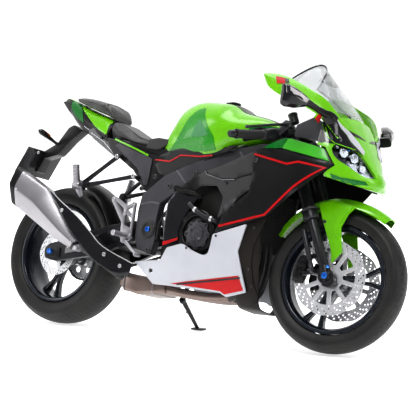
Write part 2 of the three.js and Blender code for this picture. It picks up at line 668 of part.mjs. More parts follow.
// ---- fairing ----
// Half width of the fairing skin: fullest at knee height, tapering to the belly and to the nose.
function fairingHalf(x, z) {
  const below = 62 * Math.max(0, (650 - z) / 450) ** 1.5;
  const above = 35 * Math.max(0, (z - 650) / 200) ** 2;
  const nose = 1 - 0.8 * clamp((x - 480) / 400, 0, 1) ** 4;
  const tail = 25 * Math.max(0, (100 - x) / 300);
  return (238 - below - above) * nose - tail;
}
const SIDE_FAIRING = [[386, 771], [430, 800], [526, 846], [716, 802], [762, 735], [657, 647],
  [493, 514], [405, 489],
  [240, 437], [257, 462], [284, 515], [405, 612], [410, 685]];
const BELLY_FAIRING = [[403, 481], [235, 430], [221, 355], [205, 342], [173, 344], [128, 358],
  [76, 384], [-11, 363],
  [-47, 309], [-198, 296], [-87, 206], [13, 204], [281, 193], [308, 179], [409, 204], [363, 367]];
placePair(lean, "side_fairing", panel(SIDE_FAIRING, fairingHalf), "black");
placePair(lean, "belly_fairing", panel(BELLY_FAIRING, fairingHalf), "white");

// The dark duct behind the front wheel, inside the side panels.
const ductRows = [[350, 1], [400, 0.97], [436, 0.86]].map(([x, share]) =>
  [[206, 476], [192, 380], [166, 262], [146, 180], [100, 140], [0, 132], [-100, 140], [-146, 180],
  [-166, 262],
    [-192, 380], [-206, 476]].map(([y, z]) => V(x, -y * share, z)));
place(lean, "radiator_duct", sheet(ductRows, 5), "black");

// The nose: full sections from the beak back to the screen, made a shell.
const NOSE = [
  [884, [[0, 706], [9, 703], [14, 697], [13, 691], [9, 686], [0, 684]]],
  [852, [[0, 757], [30, 752], [62, 736], [82, 706], [74, 672], [0, 660]]],
  [802, [[0, 848], [60, 840], [116, 808], [152, 752], [152, 680], [0, 652]]],
  [742, [[0, 956], [96, 936], [168, 880], [198, 800], [196, 690], [0, 640]]],
  [690, [[0, 1030], [120, 985], [196, 915], [218, 820], [214, 720], [0, 640]]],
];
const noseOuter = loft(NOSE.map(([x, half]) => wholeRing(x, half)));
const noseInner = loft(NOSE.map(([x, half], i) => {
  const share = Math.max(0.5, 1 - 12 / Math.max(half[3][0], 20));
  const back = i === NOSE.length - 1 ? -4 : -9;
  return wholeRing(x + back, half.map(([y, z]) => [y * share, 745 + (z - 745) * 0.95]));
}));
const LENS = [[36, 716], [58, 768], [112, 826], [172, 820], [192, 772], [120, 724]];
const lensOpening = (side) => frontSlab(LENS.map(([y, z]) => [side * y, z]), 690, 900);
const growLens = LENS.map(([y, z]) => [108 + (y - 108) * 0.93, 770 + (z - 770) * 0.9]);
const lensBlock = (side) => frontSlab(growLens.map(([y, z]) => [side * y, z]), 700, 900);
const screenCut = sideSlab([[600, 860], [700, 930], [747, 962], [747, 1100], [600, 1100]], -175, 175);
// Room for the side fairing, whose front edge meets the nose behind the headlight.
const flankCut = [-1, 1].map((side) => sideSlab([[560, 500], [560, 836], [640, 828], [722, 808],
  [770, 737], [700, 668],
  [640, 600]], side > 0 ? 100 : -400, side > 0 ? 400 : -100));
const chinCut = sideSlab([[600, 560], [600, 700], [700, 690], [790, 668], [868, 655], [868, 560]], -300, 300);

// A raised flank each side of the screen ends in a point behind the mirror.
function cowlWing(side) {
  const edges = [[[764, 95, 902], [762, 165, 838]], [[742, 150, 936], [738, 192, 868]],
    [[690, 190, 1002], [684, 222, 928]],
    [[610, 206, 1048], [596, 238, 976]], [[520, 220, 1090], [500, 250, 1012]], [[462, 232, 1104],
    [440, 254, 1040]],
    [[428, 244, 1092], [424, 250, 1068]]];
  const rows = edges.map(([top, low]) => [top, low].map(([x, y, z]) => V(x, side * y, z)));
  return sheet(rows, side > 0 ? -6 : 6);
}
const noseShell = cut(noseOuter, noseInner, screenCut, chinCut, lensOpening(1), lensOpening(-1), ...flankCut);
place(lean, "nose_cowl", join(noseShell, cowlWing(1), cowlWing(-1)), "lime");

const lensBridge = box([716, 0, 742], [20, 240, 24]);
const lampZone = noseInner.intersect(box([760, 0, 770], [200, 460, 240]));
const lamps = join(lampZone.intersect(join(lensBlock(1), lensBlock(-1))), lensBridge.intersect(noseInner));
place(lean, "headlight_unit", cut(lamps, ...flankCut), "lens");

// The screen curves across and rises back to its top edge.
const screenRows = [0, 0.25, 0.5, 0.75, 1].map((rise) =>
  [-1, -0.7, -0.35, 0, 0.35, 0.7, 1].map((side) => {
    const half = lerp(172, 118, rise ** 1.5);
    const x = lerp(738, 532, rise) - lerp(120, 84, rise) * side * side;
    const z = lerp(966, 1193, rise ** 0.95) + lerp(14, -78, rise) * side * side;
    return V(x, half * side, z);
  }));
place(lean, "windscreen", sheet(screenRows, 5), "clear");

// ---- mirrors, rests, pedals and stand ----
const MIRROR_PIVOT = [738, -232, 930];
function mirror() {
  const stalk = bar(MIRROR_PIVOT, [668, -352, 972], 15, 11, 8);
  const housing = new THREE.SphereGeometry(1, 12, 8);
  housing.scale(66, 52, 48);
  housing.translate(652, -368, 978);
  return join(stalk, solid(housing));
}
placePair(lean, "mirror", mirror(), "black");

const REARSET = [[-240, 556], [-240, 400], [-262, 382], [-305, 392], [-306, 462], [-382, 562],
  [-362, 578], [-290, 540]];
const rearset = join(
  sideSlab(REARSET, -164, -154),
  bar([-284, -160, 408], [-289, -232, 408], 11),
);
placePair(lean, "rearset", rearset, "silver");

const pedal = join(
  bar([-270, -176, 384], [-168, -186, 322], 8, 7, 10),
  bar([-168, -180, 322], [-168, -212, 322], 9, 9, 10),
);
place(lean, "brake_pedal", pedal, "silver");
place(lean, "shift_lever", pedal, "silver", true);

const PEG_PIVOT = [-584, -178, 616];
const pillionPeg = join(
  bar(PEG_PIVOT, [-584, -202, 700], 12, 10, 12),
  bar([-602, -178, 616], [-566, -178, 616], 13, 13, 12),
);
placePair(lean, "pillion_peg", pillionPeg, "silver");

const STAND_EYE = [-92, 66, 168];
function sideStand() {
  const leg = bar([-94, 76, 163], [-111, 231, 57], 10, 8, 10);
  const eye = bar(STAND_EYE, [-96, 80, 158], 14, 14, 12);
  const foot = new THREE.BoxGeometry(64, 40, 8);
  foot.rotateX(radians(LEAN));
  foot.translate(-106, 234, 53.5);
  return join(leg, eye, solid(foot));
}
place(lean, "side_stand", sideStand(), "blackMetal");

// ---- radio gear and drive ----
place(lean, "drive_motor", disc(MOTOR.x, MOTOR.z, MOTOR.radius, -54, 88), "silver");
place(lean, "steering_servo", box([262, 0, 748], [96, 60, 76]), "black");
place(lean, "receiver_board", box([-290, 0, 776], [110, 80, 14]), "board");

// The origin is on the ground, at the middle of the model's bounding box.
model.scale.setScalar(SCALE);
model.updateMatrixWorld(true);
const bounds = new THREE.Box3().setFromObject(model, true);
const centre = bounds.getCenter(V(0, 0, 0));
model.position.set(-centre.x, -centre.y, -bounds.min.z);

export default model;
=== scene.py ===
# Looks of the 1:8 radio-controlled road-racing motorcycle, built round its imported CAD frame.
# Shapes are given in millimetres of the full-size machine, in its own axes: +X forward, +Y to the
# rider's left, +Z up, with the origin on the ground midway between the wheels. BIKE takes them to
# the row frame (metres, leaning on the side stand). FORK does the same for the steered parts,
# whose +Z runs up the steering axis.
import json
import math

import bmesh
import bpy
from mathutils import Matrix, Vector
from mathutils.bvhtree import BVHTree


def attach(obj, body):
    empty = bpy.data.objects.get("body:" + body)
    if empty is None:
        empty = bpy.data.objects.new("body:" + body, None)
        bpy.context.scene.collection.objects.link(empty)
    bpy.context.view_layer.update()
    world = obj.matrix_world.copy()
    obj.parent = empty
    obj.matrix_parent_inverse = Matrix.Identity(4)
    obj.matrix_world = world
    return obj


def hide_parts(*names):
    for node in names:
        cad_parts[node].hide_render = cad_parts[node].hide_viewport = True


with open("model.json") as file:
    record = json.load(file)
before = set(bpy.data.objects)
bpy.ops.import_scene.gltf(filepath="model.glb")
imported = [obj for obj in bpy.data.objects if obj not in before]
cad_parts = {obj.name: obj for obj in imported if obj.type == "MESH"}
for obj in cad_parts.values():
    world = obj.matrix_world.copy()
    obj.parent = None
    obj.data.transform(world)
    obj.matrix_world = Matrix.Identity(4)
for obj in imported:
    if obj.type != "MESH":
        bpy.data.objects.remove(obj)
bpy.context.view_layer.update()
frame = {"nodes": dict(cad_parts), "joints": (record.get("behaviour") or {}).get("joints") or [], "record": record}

# ---- driving dimensions ----
MM = 0.001 / 8
LEAN = math.radians(12)
STEER = math.radians(8.7)
RAKE = math.radians(25)
STEER_X = 830
FRONT = {"x": 725, "radius": 296, "half": 60, "bead": 227, "disc": 155, "disc_y": 78}
REAR = {"x": -725, "radius": 315, "half": 95, "bead": 227, "disc": 104, "disc_y": 86}
FORK_Y = 105
CHAIN_Y = 109
SIDES = ((-1, "right"), (1, "left"))
SPROCKET = {"x": -95, "z": 440, "front": 32, "rear": 96}

rear_axle = next(j for j in frame["joints"] if j["name"] == "rear_wheel_spin")["pos_m"]
turn = Matrix.Rotation(-LEAN, 4, "X") @ Matrix.Scale(MM, 4)
shift = Vector(rear_axle) - turn @ Vector((REAR["x"], 0, REAR["radius"]))
BIKE = Matrix.Translation(shift) @ turn
RAKED = Matrix.Translation((STEER_X, 0, 0)) @ Matrix.Rotation(-RAKE, 4, "Y")
FORK = BIKE @ RAKED @ Matrix.Rotation(STEER, 4, "Z")
WHEEL_U = (FRONT["x"] - STEER_X) * math.cos(RAKE) + FRONT["radius"] * math.sin(RAKE)
WHEEL_W = -(FRONT["x"] - STEER_X) * math.sin(RAKE) + FRONT["radius"] * math.cos(RAKE)


def to_fork(x, z):
    """A point of the machine's side view in the fork's frame."""
    dx = x - STEER_X
    return (dx * math.cos(RAKE) + z * math.sin(RAKE), z * math.cos(RAKE) - dx * math.sin(RAKE))


# ---- shader helpers ----
def rgba(colour):
    return (*colour, 1)


def plug(tree, socket, value):
    """Gives a socket its value, or a wire from another socket."""
    if isinstance(value, bpy.types.NodeSocket):
        tree.links.new(value, socket)
    else:
        socket.default_value = value


def add_node(tree, kind, output, mode=(), **inputs):
    """Adds a shader node and returns one output; an underscore in an input's name stands for a space."""
    made = tree.nodes.new("ShaderNode" + kind)
    for name, value in mode:
        setattr(made, name, value)
    for name, value in inputs.items():
        plug(tree, made.inputs[name.replace("_", " ")], value)
    return made.outputs[output]


def ramp(tree, factor, places, colours=(rgba((0, 0, 0)), rgba((1, 1, 1)))):
    """A colour that runs from one to another between two places of a factor."""
    made = tree.nodes.new("ShaderNodeValToRGB")
    for stop, place, colour in zip(made.color_ramp.elements, places, colours):
        stop.position = place
        stop.color = colour
    tree.links.new(factor, made.inputs["Fac"])
    return made.outputs["Color"]


def backwards(tree, place):
    """How far a place or a direction lies towards the room's far side, behind the model."""
    made = tree.nodes.new("ShaderNodeVectorMath")
    made.operation = "DOT_PRODUCT"
    made.inputs[1].default_value = (-0.6, 0.8, 0)
    tree.links.new(place, made.inputs[0])
    return made.outputs["Value"]


# ---- camera, light and sky ----
CAMERA = {"at": (3918.5, -5108.0, 909.6), "target": (118.1, 0, 564.3), "roll": 0.6, "lens": 130.0}


def standing(point):
    """A point of the upright room, in full-size millimetres from the machine's ground point."""
    return Vector(point) * MM + shift


def look(obj, at, target, roll=0.0):
    """Stands an object at a point and turns its -Z towards the target."""
    forward = (target - at).normalized()
    right = forward.cross(Vector((0, 0, 1))).normalized()
    up = right.cross(forward)
    tilt = math.radians(roll)
    side = right * math.cos(tilt) + up * math.sin(tilt)
    top = up * math.cos(tilt) - right * math.sin(tilt)
    basis = Matrix((side, top, -forward)).transposed().to_4x4()
    obj.matrix_world = Matrix.Translation(at) @ basis


camera = bpy.data.objects.new("camera", bpy.data.cameras.new("camera"))
camera.data.lens = CAMERA["lens"]
camera.data.sensor_width = 36
camera.data.clip_start = 0.01
bpy.context.scene.collection.objects.link(camera)
look(camera, standing(CAMERA["at"]), standing(CAMERA["target"]), CAMERA["roll"])
bpy.context.scene.camera = camera


def lamp(name, at, target, size, power, colour=(1, 1, 1)):
    light = bpy.data.lights.new(name, "AREA")
    light.shape = "RECTANGLE"
    light.size, light.size_y = size
    light.energy = power
    light.color = colour
    obj = bpy.data.objects.new(name, light)
    bpy.context.scene.collection.objects.link(obj)
    look(obj, Vector(at), Vector(target))


MIDDLE = (0, -0.02, 0.06)
lamp("key", (0.28, -0.55, 0.75), MIDDLE, (0.35, 0.25), 3.9)
lamp("overhead", (-0.05, 0.02, 0.8), (0, 0, 0.05), (0.8, 0.3), 3.4)
lamp("front_strip", (0.85, 0.1, 0.35), (0.08, -0.02, 0.08), (0.2, 0.5), 1.4)
lamp("rear_strip", (-0.7, -0.45, 0.4), (-0.05, -0.02, 0.06), (0.2, 0.6), 1.3)

world = bpy.data.worlds.new("studio")
world.use_nodes = True
sky = world.node_tree
facing = backwards(sky, add_node(sky, "TexCoord", "Generated"))
shade = ramp(sky, facing, (0.1, 0.7), (rgba((0.26, 0.26, 0.27)), rgba((1, 1, 1))))
plug(sky, sky.nodes["Background"].inputs["Strength"], 1.0)
plug(sky, sky.nodes["Background"].inputs["Color"], shade)
bpy.context.scene.world = world
bpy.context.scene.view_settings.view_transform = "Standard"
bpy.context.scene.view_settings.look = "Medium High Contrast"


# ---- materials ----
def material(name, colour, other=None, patch=60, rough=0.3, spread=0.06, grain=1500, bump=0.1,
        depth=0.00002, stretch=(1, 1, 1), metal=0.0, coat=0.0, edge_wear_and_highlight=None, pattern="NOISE", sheen=0.0,
        shine=0.5):
    """Slow drift between two colours, fine grain in gloss and relief, and lighter edges that are edge wear and a
    painted edge highlight.
    """
    made = bpy.data.materials.new(name)
    made.use_nodes = True
    tree = made.node_tree
    place = add_node(tree, "Mapping", "Vector", Vector=add_node(tree, "TexCoord", "Object"),
        Scale=stretch)
    drift = add_node(tree, "TexNoise", "Fac", Vector=place, Scale=patch, Detail=3)
    second = other or [c * 0.86 for c in colour]
    base = ramp(tree, drift, (0.35, 0.68), (rgba(colour), rgba(second)))
    # lighter convex edges: light edge wear together with a painted edge highlight
    if edge_wear_and_highlight:
        edge = ramp(tree, add_node(tree, "NewGeometry", "Pointiness"), (0.53, 0.66))
        base = add_node(tree, "Mix", "Result", [("data_type", "RGBA")], Factor=edge, A=base, B=rgba(edge_wear_and_highlight))
    if pattern == "VORONOI":
        height = add_node(tree, "TexVoronoi", "Distance", Vector=place, Scale=grain)
    else:
        height = add_node(tree, "TexNoise", "Fac", Vector=place, Scale=grain, Detail=5)
    gloss = add_node(tree, "MapRange", "Result", Value=height, To_Min=max(0.02, rough - spread),
        To_Max=rough + spread)
    relief = add_node(tree, "Bump", "Normal", Height=height, Strength=bump, Distance=depth)
    finish = {"Base Color": base, "Roughness": gloss, "Normal": relief, "Metallic": metal,
        "Coat Weight": coat, "Coat Roughness": 0.06, "Specular IOR Level": shine, "Sheen Weight": sheen}
    for socket, value in finish.items():
        plug(tree, tree.nodes["Principled BSDF"].inputs[socket], value)
    return made


def clear(name, colour, rough=0.03, weight=1.0, alpha=1.0):
    """A clear or tinted plastic."""
    made = material(name, colour, rough=rough, spread=0.01, bump=0.02)
    shader = made.node_tree.nodes["Principled BSDF"]
    shader.inputs["Transmission Weight"].default_value = weight
    shader.inputs["IOR"].default_value = 1.2
    shader.inputs["Alpha"].default_value = alpha
    return made


LIME = material("lime_paint", (0.15, 0.5, 0.002), (0.13, 0.45, 0.002), rough=0.24, coat=0.35, bump=0.02,
    shine=0.4)
DEEP_GREEN = material("deep_green", (0.004, 0.15, 0.018), (0.003, 0.125, 0.014), rough=0.28, coat=0.3,
    bump=0.02, shine=0.3)
MID_GREEN = material("mid_green", (0.055, 0.4, 0.022), (0.05, 0.36, 0.02), rough=0.3, coat=0.2, bump=0.02,
    shine=0.3)
LEAF_GREEN = material("leaf_green", (0.02, 0.26, 0.012), (0.014, 0.22, 0.01), rough=0.26, coat=0.3,
    bump=0.02, shine=0.4)
PALE_GREEN = material("pale_green", (0.06, 0.25, 0.09), (0.05, 0.22, 0.08), rough=0.5, bump=0.05)
WHITE = material("white_paint", (0.5, 0.51, 0.55), (0.46, 0.47, 0.51), rough=0.3, coat=0.3, bump=0.02)
RED = material("red_film", (0.5, 0.004, 0.006), (0.43, 0.003, 0.005), rough=0.3, coat=0.1, bump=0.02,
    shine=0.3)
GLOSS = material("gloss_black", (0.008, 0.008, 0.01), (0.012, 0.012, 0.014), rough=0.13, coat=0.25,
    bump=0.03, edge_wear_and_highlight=(0.03, 0.03, 0.034), shine=0.4)
SATIN = material("satin_black", (0.007, 0.0065, 0.007), (0.01, 0.0095, 0.01), rough=0.3, bump=0.06,
    edge_wear_and_highlight=(0.04, 0.04, 0.043), shine=0.3)
MATT = material("matt_black", (0.012, 0.0115, 0.011), (0.017, 0.016, 0.015), rough=0.6, bump=0.25,
    edge_wear_and_highlight=(0.04, 0.04, 0.04), shine=0.25)
BROWN = material("dark_duct", (0.009, 0.007, 0.006), (0.014, 0.011, 0.009), rough=0.4, bump=0.12,
    shine=0.3)
WHEEL = material("wheel_black", (0.006, 0.009, 0.016), (0.009, 0.012, 0.02), rough=0.24, coat=0.4,
    metal=0.3, bump=0.05, edge_wear_and_highlight=(0.06, 0.07, 0.09))
TYRE = material("tyre_rubber", (0.012, 0.0115, 0.011), (0.02, 0.019, 0.018), patch=90, rough=0.5,
    spread=0.1, bump=0.2, grain=2500, shine=0.35)
GRIP = material("grip_rubber", (0.012, 0.012, 0.012), rough=0.62, bump=0.4, grain=3000)
VINYL = material("seat_vinyl", (0.02, 0.018, 0.018), (0.028, 0.026, 0.026), rough=0.42, spread=0.09,
    bump=0.55, depth=0.00004, grain=1400, pattern="VORONOI", sheen=0.15)
PILLION_VINYL = material("pillion_vinyl", (0.016, 0.015, 0.015), (0.05, 0.049, 0.047), patch=130,
    rough=0.4, spread=0.12, bump=0.6, depth=0.00005, grain=1100, pattern="VORONOI", sheen=0.15)
BLACK_METAL = material("black_metal", (0.014, 0.014, 0.016), (0.022, 0.022, 0.025), rough=0.36, metal=0.5,
    bump=0.12, edge_wear_and_highlight=(0.12, 0.12, 0.13))
DARK_METAL = material("dark_metal", (0.035, 0.034, 0.035), (0.05, 0.048, 0.048), rough=0.42, metal=0.55,
    bump=0.3, edge_wear_and_highlight=(0.16, 0.16, 0.165))
FRAME_METAL = material("frame_metal", (0.055, 0.054, 0.06), (0.07, 0.069, 0.076), rough=0.4, metal=0.3,
    bump=0.15, edge_wear_and_highlight=(0.22, 0.22, 0.24), shine=0.35)
SILVER = material("silver_metal", (0.52, 0.52, 0.53), (0.42, 0.42, 0.43), rough=0.3, metal=0.85,
    bump=0.15, edge_wear_and_highlight=(0.8, 0.8, 0.8))
STEEL = material("brake_steel", (0.78, 0.78, 0.8), (0.72, 0.72, 0.74), rough=0.34, metal=0.75, bump=0.08,
    stretch=(1, 1, 6), grain=900)
ALLOY = material("bead_blasted", (0.4, 0.39, 0.41), (0.33, 0.32, 0.34), rough=0.34, metal=0.9, bump=0.2)
TITANIUM = material("heated_titanium", (0.3, 0.24, 0.21), (0.2, 0.145, 0.13), patch=28, rough=0.33,
    metal=0.75, bump=0.15)
BLUE = material("anodised_blue", (0.04, 0.22, 0.75), (0.03, 0.16, 0.6), rough=0.25, metal=0.7)
DARK_BLUE = material("tinted_blue", (0.008, 0.03, 0.1), (0.01, 0.04, 0.14), rough=0.3, coat=0.4)
SCREEN = clear("clear_screen", (0.16, 0.18, 0.19), alpha=0.42)
LENS = clear("lamp_lens", (0.5, 0.55, 0.6), alpha=0.2)
MIRROR_GLASS = material("mirror_glass", (0.52, 0.5, 0.5), (0.44, 0.42, 0.43), patch=20, rough=0.16,
    metal=0.9)
SILVER_PAINT = material("silver_paint", (0.5, 0.47, 0.47), (0.42, 0.4, 0.41), patch=30, rough=0.3,
    coat=0.3)
CHROME = material("reflector_chrome", (0.3, 0.32, 0.34), (0.16, 0.17, 0.19), rough=0.16, metal=1.0,
    bump=0.1, grain=500)
AMBER = clear("amber_lens", (0.35, 0.09, 0.01), rough=0.2, weight=0.4)
RED_LENS = clear("red_lens", (0.35, 0.01, 0.01), rough=0.15, weight=0.3)
BATTERY = material("battery_film", (0.02, 0.07, 0.35), rough=0.35, bump=0.2, grain=500)
BOARD = material("circuit_board", (0.01, 0.11, 0.05), rough=0.45, bump=0.3, grain=900)
FLOOR = material("studio_floor", (0.86, 0.86, 0.86), (0.84, 0.84, 0.84), patch=4, rough=0.6, bump=0.05)


# ---- mesh building ----
def spline(points, steps, closed=False):
    """A smooth line through the points (tuples of any length)."""
    count = len(points)
    made = []
    for i in range(count if closed else count - 1):
        b, c = points[i], points[(i + 1) % count]
        a = points[i - 1] if closed or i else [2 * p - q for p, q in zip(b, c)]
        d = points[(i + 2) % count] if closed or i + 2 < count else [2 * q - p for p, q in zip(b, c)]
        for k in range(steps):
            t = k / steps
            made.append(tuple(0.5 * (2 * q + (r - p) * t + (2 * p - 5 * q + 4 * r - s) * t * t
                + (3 * q - p - 3 * r + s) * t ** 3) for p, q, r, s in zip(a, b, c, d)))
    if not closed:
        made.append(tuple(points[-1]))
    return made


def rounded(outline, radius, steps=4):
    """A closed outline with its corners rounded; a third number in a point is its own radius."""
    made = []
    for i, point in enumerate(outline):
        corner = Vector(point[:2])
        reach = point[2] if len(point) > 2 else radius
        ends = []
        for other in (outline[i - 1], outline[(i + 1) % len(outline)]):
            away = Vector(other[:2]) - corner
            ends.append(corner + away.normalized() * min(reach, 0.45 * away.length))
        if reach <= 0:
            made.append(tuple(corner))
            continue
        for k in range(steps + 1):
            t = k / steps
            made.append(tuple(ends[0] * (1 - t) ** 2 + corner * 2 * t * (1 - t) + ends[1] * t * t))
    return made


def rings(bm, sections, closed=True, caps=True, loop=False):
    """Skins the space between rows of points."""
    rows = [[bm.verts.new(p) for p in section] for section in sections]
    count = len(rows[0])
    pairs = list(zip(rows, rows[1:])) + ([(rows[-1], rows[0])] if loop else [])
    for low, high in pairs:
        for j in range(count if closed else count - 1):
            k = (j + 1) % count
            bm.faces.new((low[j], low[k], high[k], high[j]))
    if caps and closed and not loop:
        bm.faces.new(rows[0][::-1])
        bm.faces.new(rows[-1])
    return bm


def lathe(bm, x, z, profile, steps=72):
    """A ring about the wheel axis, from a closed profile of (radius, y) points."""
    angles = [math.tau * i / steps for i in range(steps)]
    return rings(bm, [[(x + r * math.cos(a), y, z + r * math.sin(a)) for r, y in profile]
        for a in angles], loop=True)


def across(direction):
    """Two unit directions square to this one."""
    along = Vector(direction).normalized()
    guide = Vector((0, 1, 0)) if abs(along.y) < 0.9 else Vector((0, 0, 1))
    first = along.cross(guide).normalized()
    return first, along.cross(first)


def turned(bm, a, b, profile, steps=20):
    """A round part along a to b, from (share of the length, radius) points."""
    start, span = Vector(a), Vector(b) - Vector(a)
    first, second = across(span)
    sections = []
    for share, radius in profile:
        centre = start + span * share
        sections.append([centre + first * (radius * math.cos(math.tau * i / steps))
            + second * (radius * math.sin(math.tau * i / steps)) for i in range(steps)])
    return rings(bm, sections)


def rod(bm, a, b, radius, end=None, steps=16, edge=None):
    """A bar with eased ends."""
    end = radius if end is None else end
    length = (Vector(b) - Vector(a)).length
    ease = min(0.3, (edge or 0.18 * radius) / max(length, 1e-6))
    profile = [(0, radius * 0.86), (ease, radius), (1 - ease, end), (1, end * 0.86)]
    return turned(bm, a, b, profile, steps)


def tube(bm, path, radius, steps=12):
    """A round tube along a path; radius is a number or a function of the share of the path."""
    points = [Vector(p) for p in path]
    last = len(points) - 1
    first = across(points[1] - points[0])[0]
    sections = []
    for i, point in enumerate(points):
        along = (points[min(i + 1, last)] - points[max(i - 1, 0)]).normalized()
        first = (first - along * first.dot(along)).normalized()
        second = along.cross(first)
        r = radius(i / last) if callable(radius) else radius
        sections.append([point + first * (r * math.cos(math.tau * k / steps))
            + second * (r * math.sin(math.tau * k / steps)) for k in range(steps)])
    return rings(bm, sections)


def beam(bm, path, sizes, side=(0, 1, 0), corner=0.3, smooth=4):
    """A bar of rounded rectangular section along a path; sizes are (width along side, depth)."""
    stations = spline([(*p, *s) for p, s in zip(path, sizes)], smooth) if smooth > 1 else [(*p, *s) for p,
        s in zip(path, sizes)]
    points = [Vector(s[:3]) for s in stations]
    last = len(points) - 1
    sections = []
    for i, station in enumerate(stations):
        along = (points[min(i + 1, last)] - points[max(i - 1, 0)]).normalized()
        wide = Vector(side)
        wide = (wide - along * wide.dot(along)).normalized()
        deep = along.cross(wide)
        w, d = station[3] / 2, station[4] / 2
        outline = rounded([(w, d), (-w, d), (-w, -d), (w, -d)], corner * 2 * min(w, d), 3)
        sections.append([points[i] + wide * a + deep * b for a, b in outline])
    return rings(bm, sections)


def absorb(bm, other):
    """Adds another bmesh's geometry to bm."""
    carrier = bpy.data.meshes.new("carrier")
    other.to_mesh(carrier)
    other.free()
    bm.from_mesh(carrier)
    bpy.data.meshes.remove(carrier)
    return bm


def polar(x, z, radius, angle):
    return (x + radius * math.cos(angle), z + radius * math.sin(angle))


def circle(x, z, radius, steps=24):
    return [polar(x, z, radius, math.tau * i / steps) for i in range(steps)]


def flat(outline, holes=()):
    """A flat face in the side view, with holes."""
    bm = bmesh.new()
    edges = []
    for loop in (outline, *holes):
        verts = [bm.verts.new((p[0], 0, p[1])) for p in loop]
        edges += [bm.edges.new(pair) for pair in zip(verts, verts[1:] + verts[:1])]
    if holes:
        bmesh.ops.triangle_fill(bm, use_beauty=True, use_dissolve=False, edges=edges, normal=(0, -1, 0))
    else:
        bm.faces.new(verts)
    return bm


def split(bm, size):
    """Cuts a flat face into cells so that it can bend."""
    for axis, normal in ((0, (1, 0, 0)), (2, (0, 0, 1))):
        values = [v.co[axis] for v in bm.verts]
        value = (math.floor(min(values) / size) + 1) * size
        while value < max(values):
            point = (value, 0, 0) if axis == 0 else (0, 0, value)
            bmesh.ops.bisect_plane(bm, geom=bm.verts[:] + bm.edges[:] + bm.faces[:], plane_co=point,
                plane_no=normal, dist=0.01)
            value += size
    return bm


def thicken(bm, offset):
    """Gives an open surface a wall: offset is a vector, or a function of a vertex."""
    grown = bmesh.ops.extrude_face_region(bm, geom=bm.faces[:])
    for item in grown["geom"]:
        if isinstance(item, bmesh.types.BMVert):
            item.co += offset(item) if callable(offset) else Vector(offset)
    return bm


def plate(bm, outline, low, high, holes=()):
    """A flat plate across y = low to high."""
    made = flat(outline, holes)
    for v in made.verts:
        v.co.y = low
    return absorb(bm, thicken(made, (0, high - low, 0)))


def skin(bm, outline, half, wall=6, size=24, holes=(), lift=0.0):
    """A body panel on the right flank; half is the body's half width there, or one number."""
    made = split(flat(outline, holes), size)
    for v in made.verts:
        reach = half(v.co.x, v.co.z) if callable(half) else half
        v.co.y = -reach - lift
    return absorb(bm, thicken(made, (0, wall, 0)))


NUDGES = ((0, 0), (0.4, 0.3), (-0.4, 0.5), (0.5, -0.4), (-0.6, -0.5))


def wrap(bm, outline, tree, side=-1, lift=1.0, wall=2.0, size=12, holes=()):
    """A thin film laid on a body from the side; it follows the body under it."""
    made = split(flat(outline, holes), size)
    missed = []
    for v in made.verts:
        for dx, dz in NUDGES:
            hit, normal = tree.ray_cast(Vector((v.co.x + dx, side * 600, v.co.z + dz)),
                Vector((0, -side, 0)))[:2]
            if hit is not None:
                break
        if hit is None:
            missed.append(v)
            continue
        normal = normal if normal.y * side > 0 else -normal
        v.co = Vector((v.co.x, hit.y, v.co.z)) + normal * lift
    bmesh.ops.delete(made, geom=missed, context="VERTS")
    return absorb(bm, thicken(made, (0, -side * wall, 0)))


def tree_of(bm):
    """A searchable copy of a surface, with true face normals."""
    bmesh.ops.recalc_face_normals(bm, faces=bm.faces)
    bm.normal_update()
    return BVHTree.FromBMesh(bm)


def bolt(bm, at, axis, radius, height=None, socket=True):
    """A cap screw with a hexagon socket, its head standing along axis."""
    height = height or radius * 0.9
    along = Vector(axis).normalized()
    base = Vector(at)
    first, second = across(along)

    def loop(r, up):
        turns = [math.tau * i / 18 for i in range(18)]
        return [base + along * up + first * (r * math.cos(a)) + second * (r * math.sin(a)) for a in turns]

    rows = [loop(radius, -height * 0.3), loop(radius, height * 0.75), loop(radius * 0.86, height)]
    if socket:
        rows += [loop(radius * 0.52, height), loop(radius * 0.48, height * 0.35),
            loop(radius * 0.05, height * 0.3)]
    return rings(bm, rows)


def piece(name, bm, finish, slot, body="chassis", space=BIKE, bevel=0.0, segments=2, angle=34,
        replaces=(), mirror=False, crown=0):
    """Turns a bmesh into a piece of the model that rides on a body."""
    bmesh.ops.remove_doubles(bm, verts=bm.verts, dist=0.02)
    bmesh.ops.recalc_face_normals(bm, faces=bm.faces)
    sharp = math.radians(angle)
    if bevel:
        edges = [e for e in bm.edges if len(e.link_faces) == 2 and e.calc_face_angle(0) > sharp]
        bmesh.ops.bevel(bm, geom=edges, offset=bevel, offset_type="OFFSET", segments=segments,
            profile=0.6, affect="EDGES", clamp_overlap=True)
    if mirror:
        bm.transform(Matrix.Scale(-1, 4, (0, 1, 0)))
        bmesh.ops.reverse_faces(bm, faces=bm.faces)
    bm.transform(space)
    mesh = bpy.data.meshes.new(name)
    bm.to_mesh(mesh)
    bm.free()
    mesh.polygons.foreach_set("use_smooth", [True] * len(mesh.polygons))
    mesh.set_sharp_from_angle(angle=sharp)
    mesh.materials.append(finish)
    obj = bpy.data.objects.new(name, mesh)
    bpy.context.scene.collection.objects.link(obj)
    if crown:
        smooth = obj.modifiers.new("crown", "SUBSURF")
        smooth.levels = smooth.render_levels = crown
    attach(obj, body)
    if replaces:
        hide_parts(*replaces)
    return obj


def pair(name, build, finish, slot, body="chassis", replaces=(), **how):
    """A right-hand piece and its mirror image; {} in a name or a body stands for the side."""
    for side in ("right", "left"):
        piece(name.format(side), build(), finish, slot, body.format(side), mirror=side == "left",
            replaces=[node.format(side) for node in replaces], **how)


def panel(name, outline, half, wall, finish, slot, lift=0.0, holes=(), **how):
    """A body panel and its mirror image."""
    pair(name, lambda: skin(new(), outline, half, wall, lift=lift, holes=holes), finish, slot, **how)


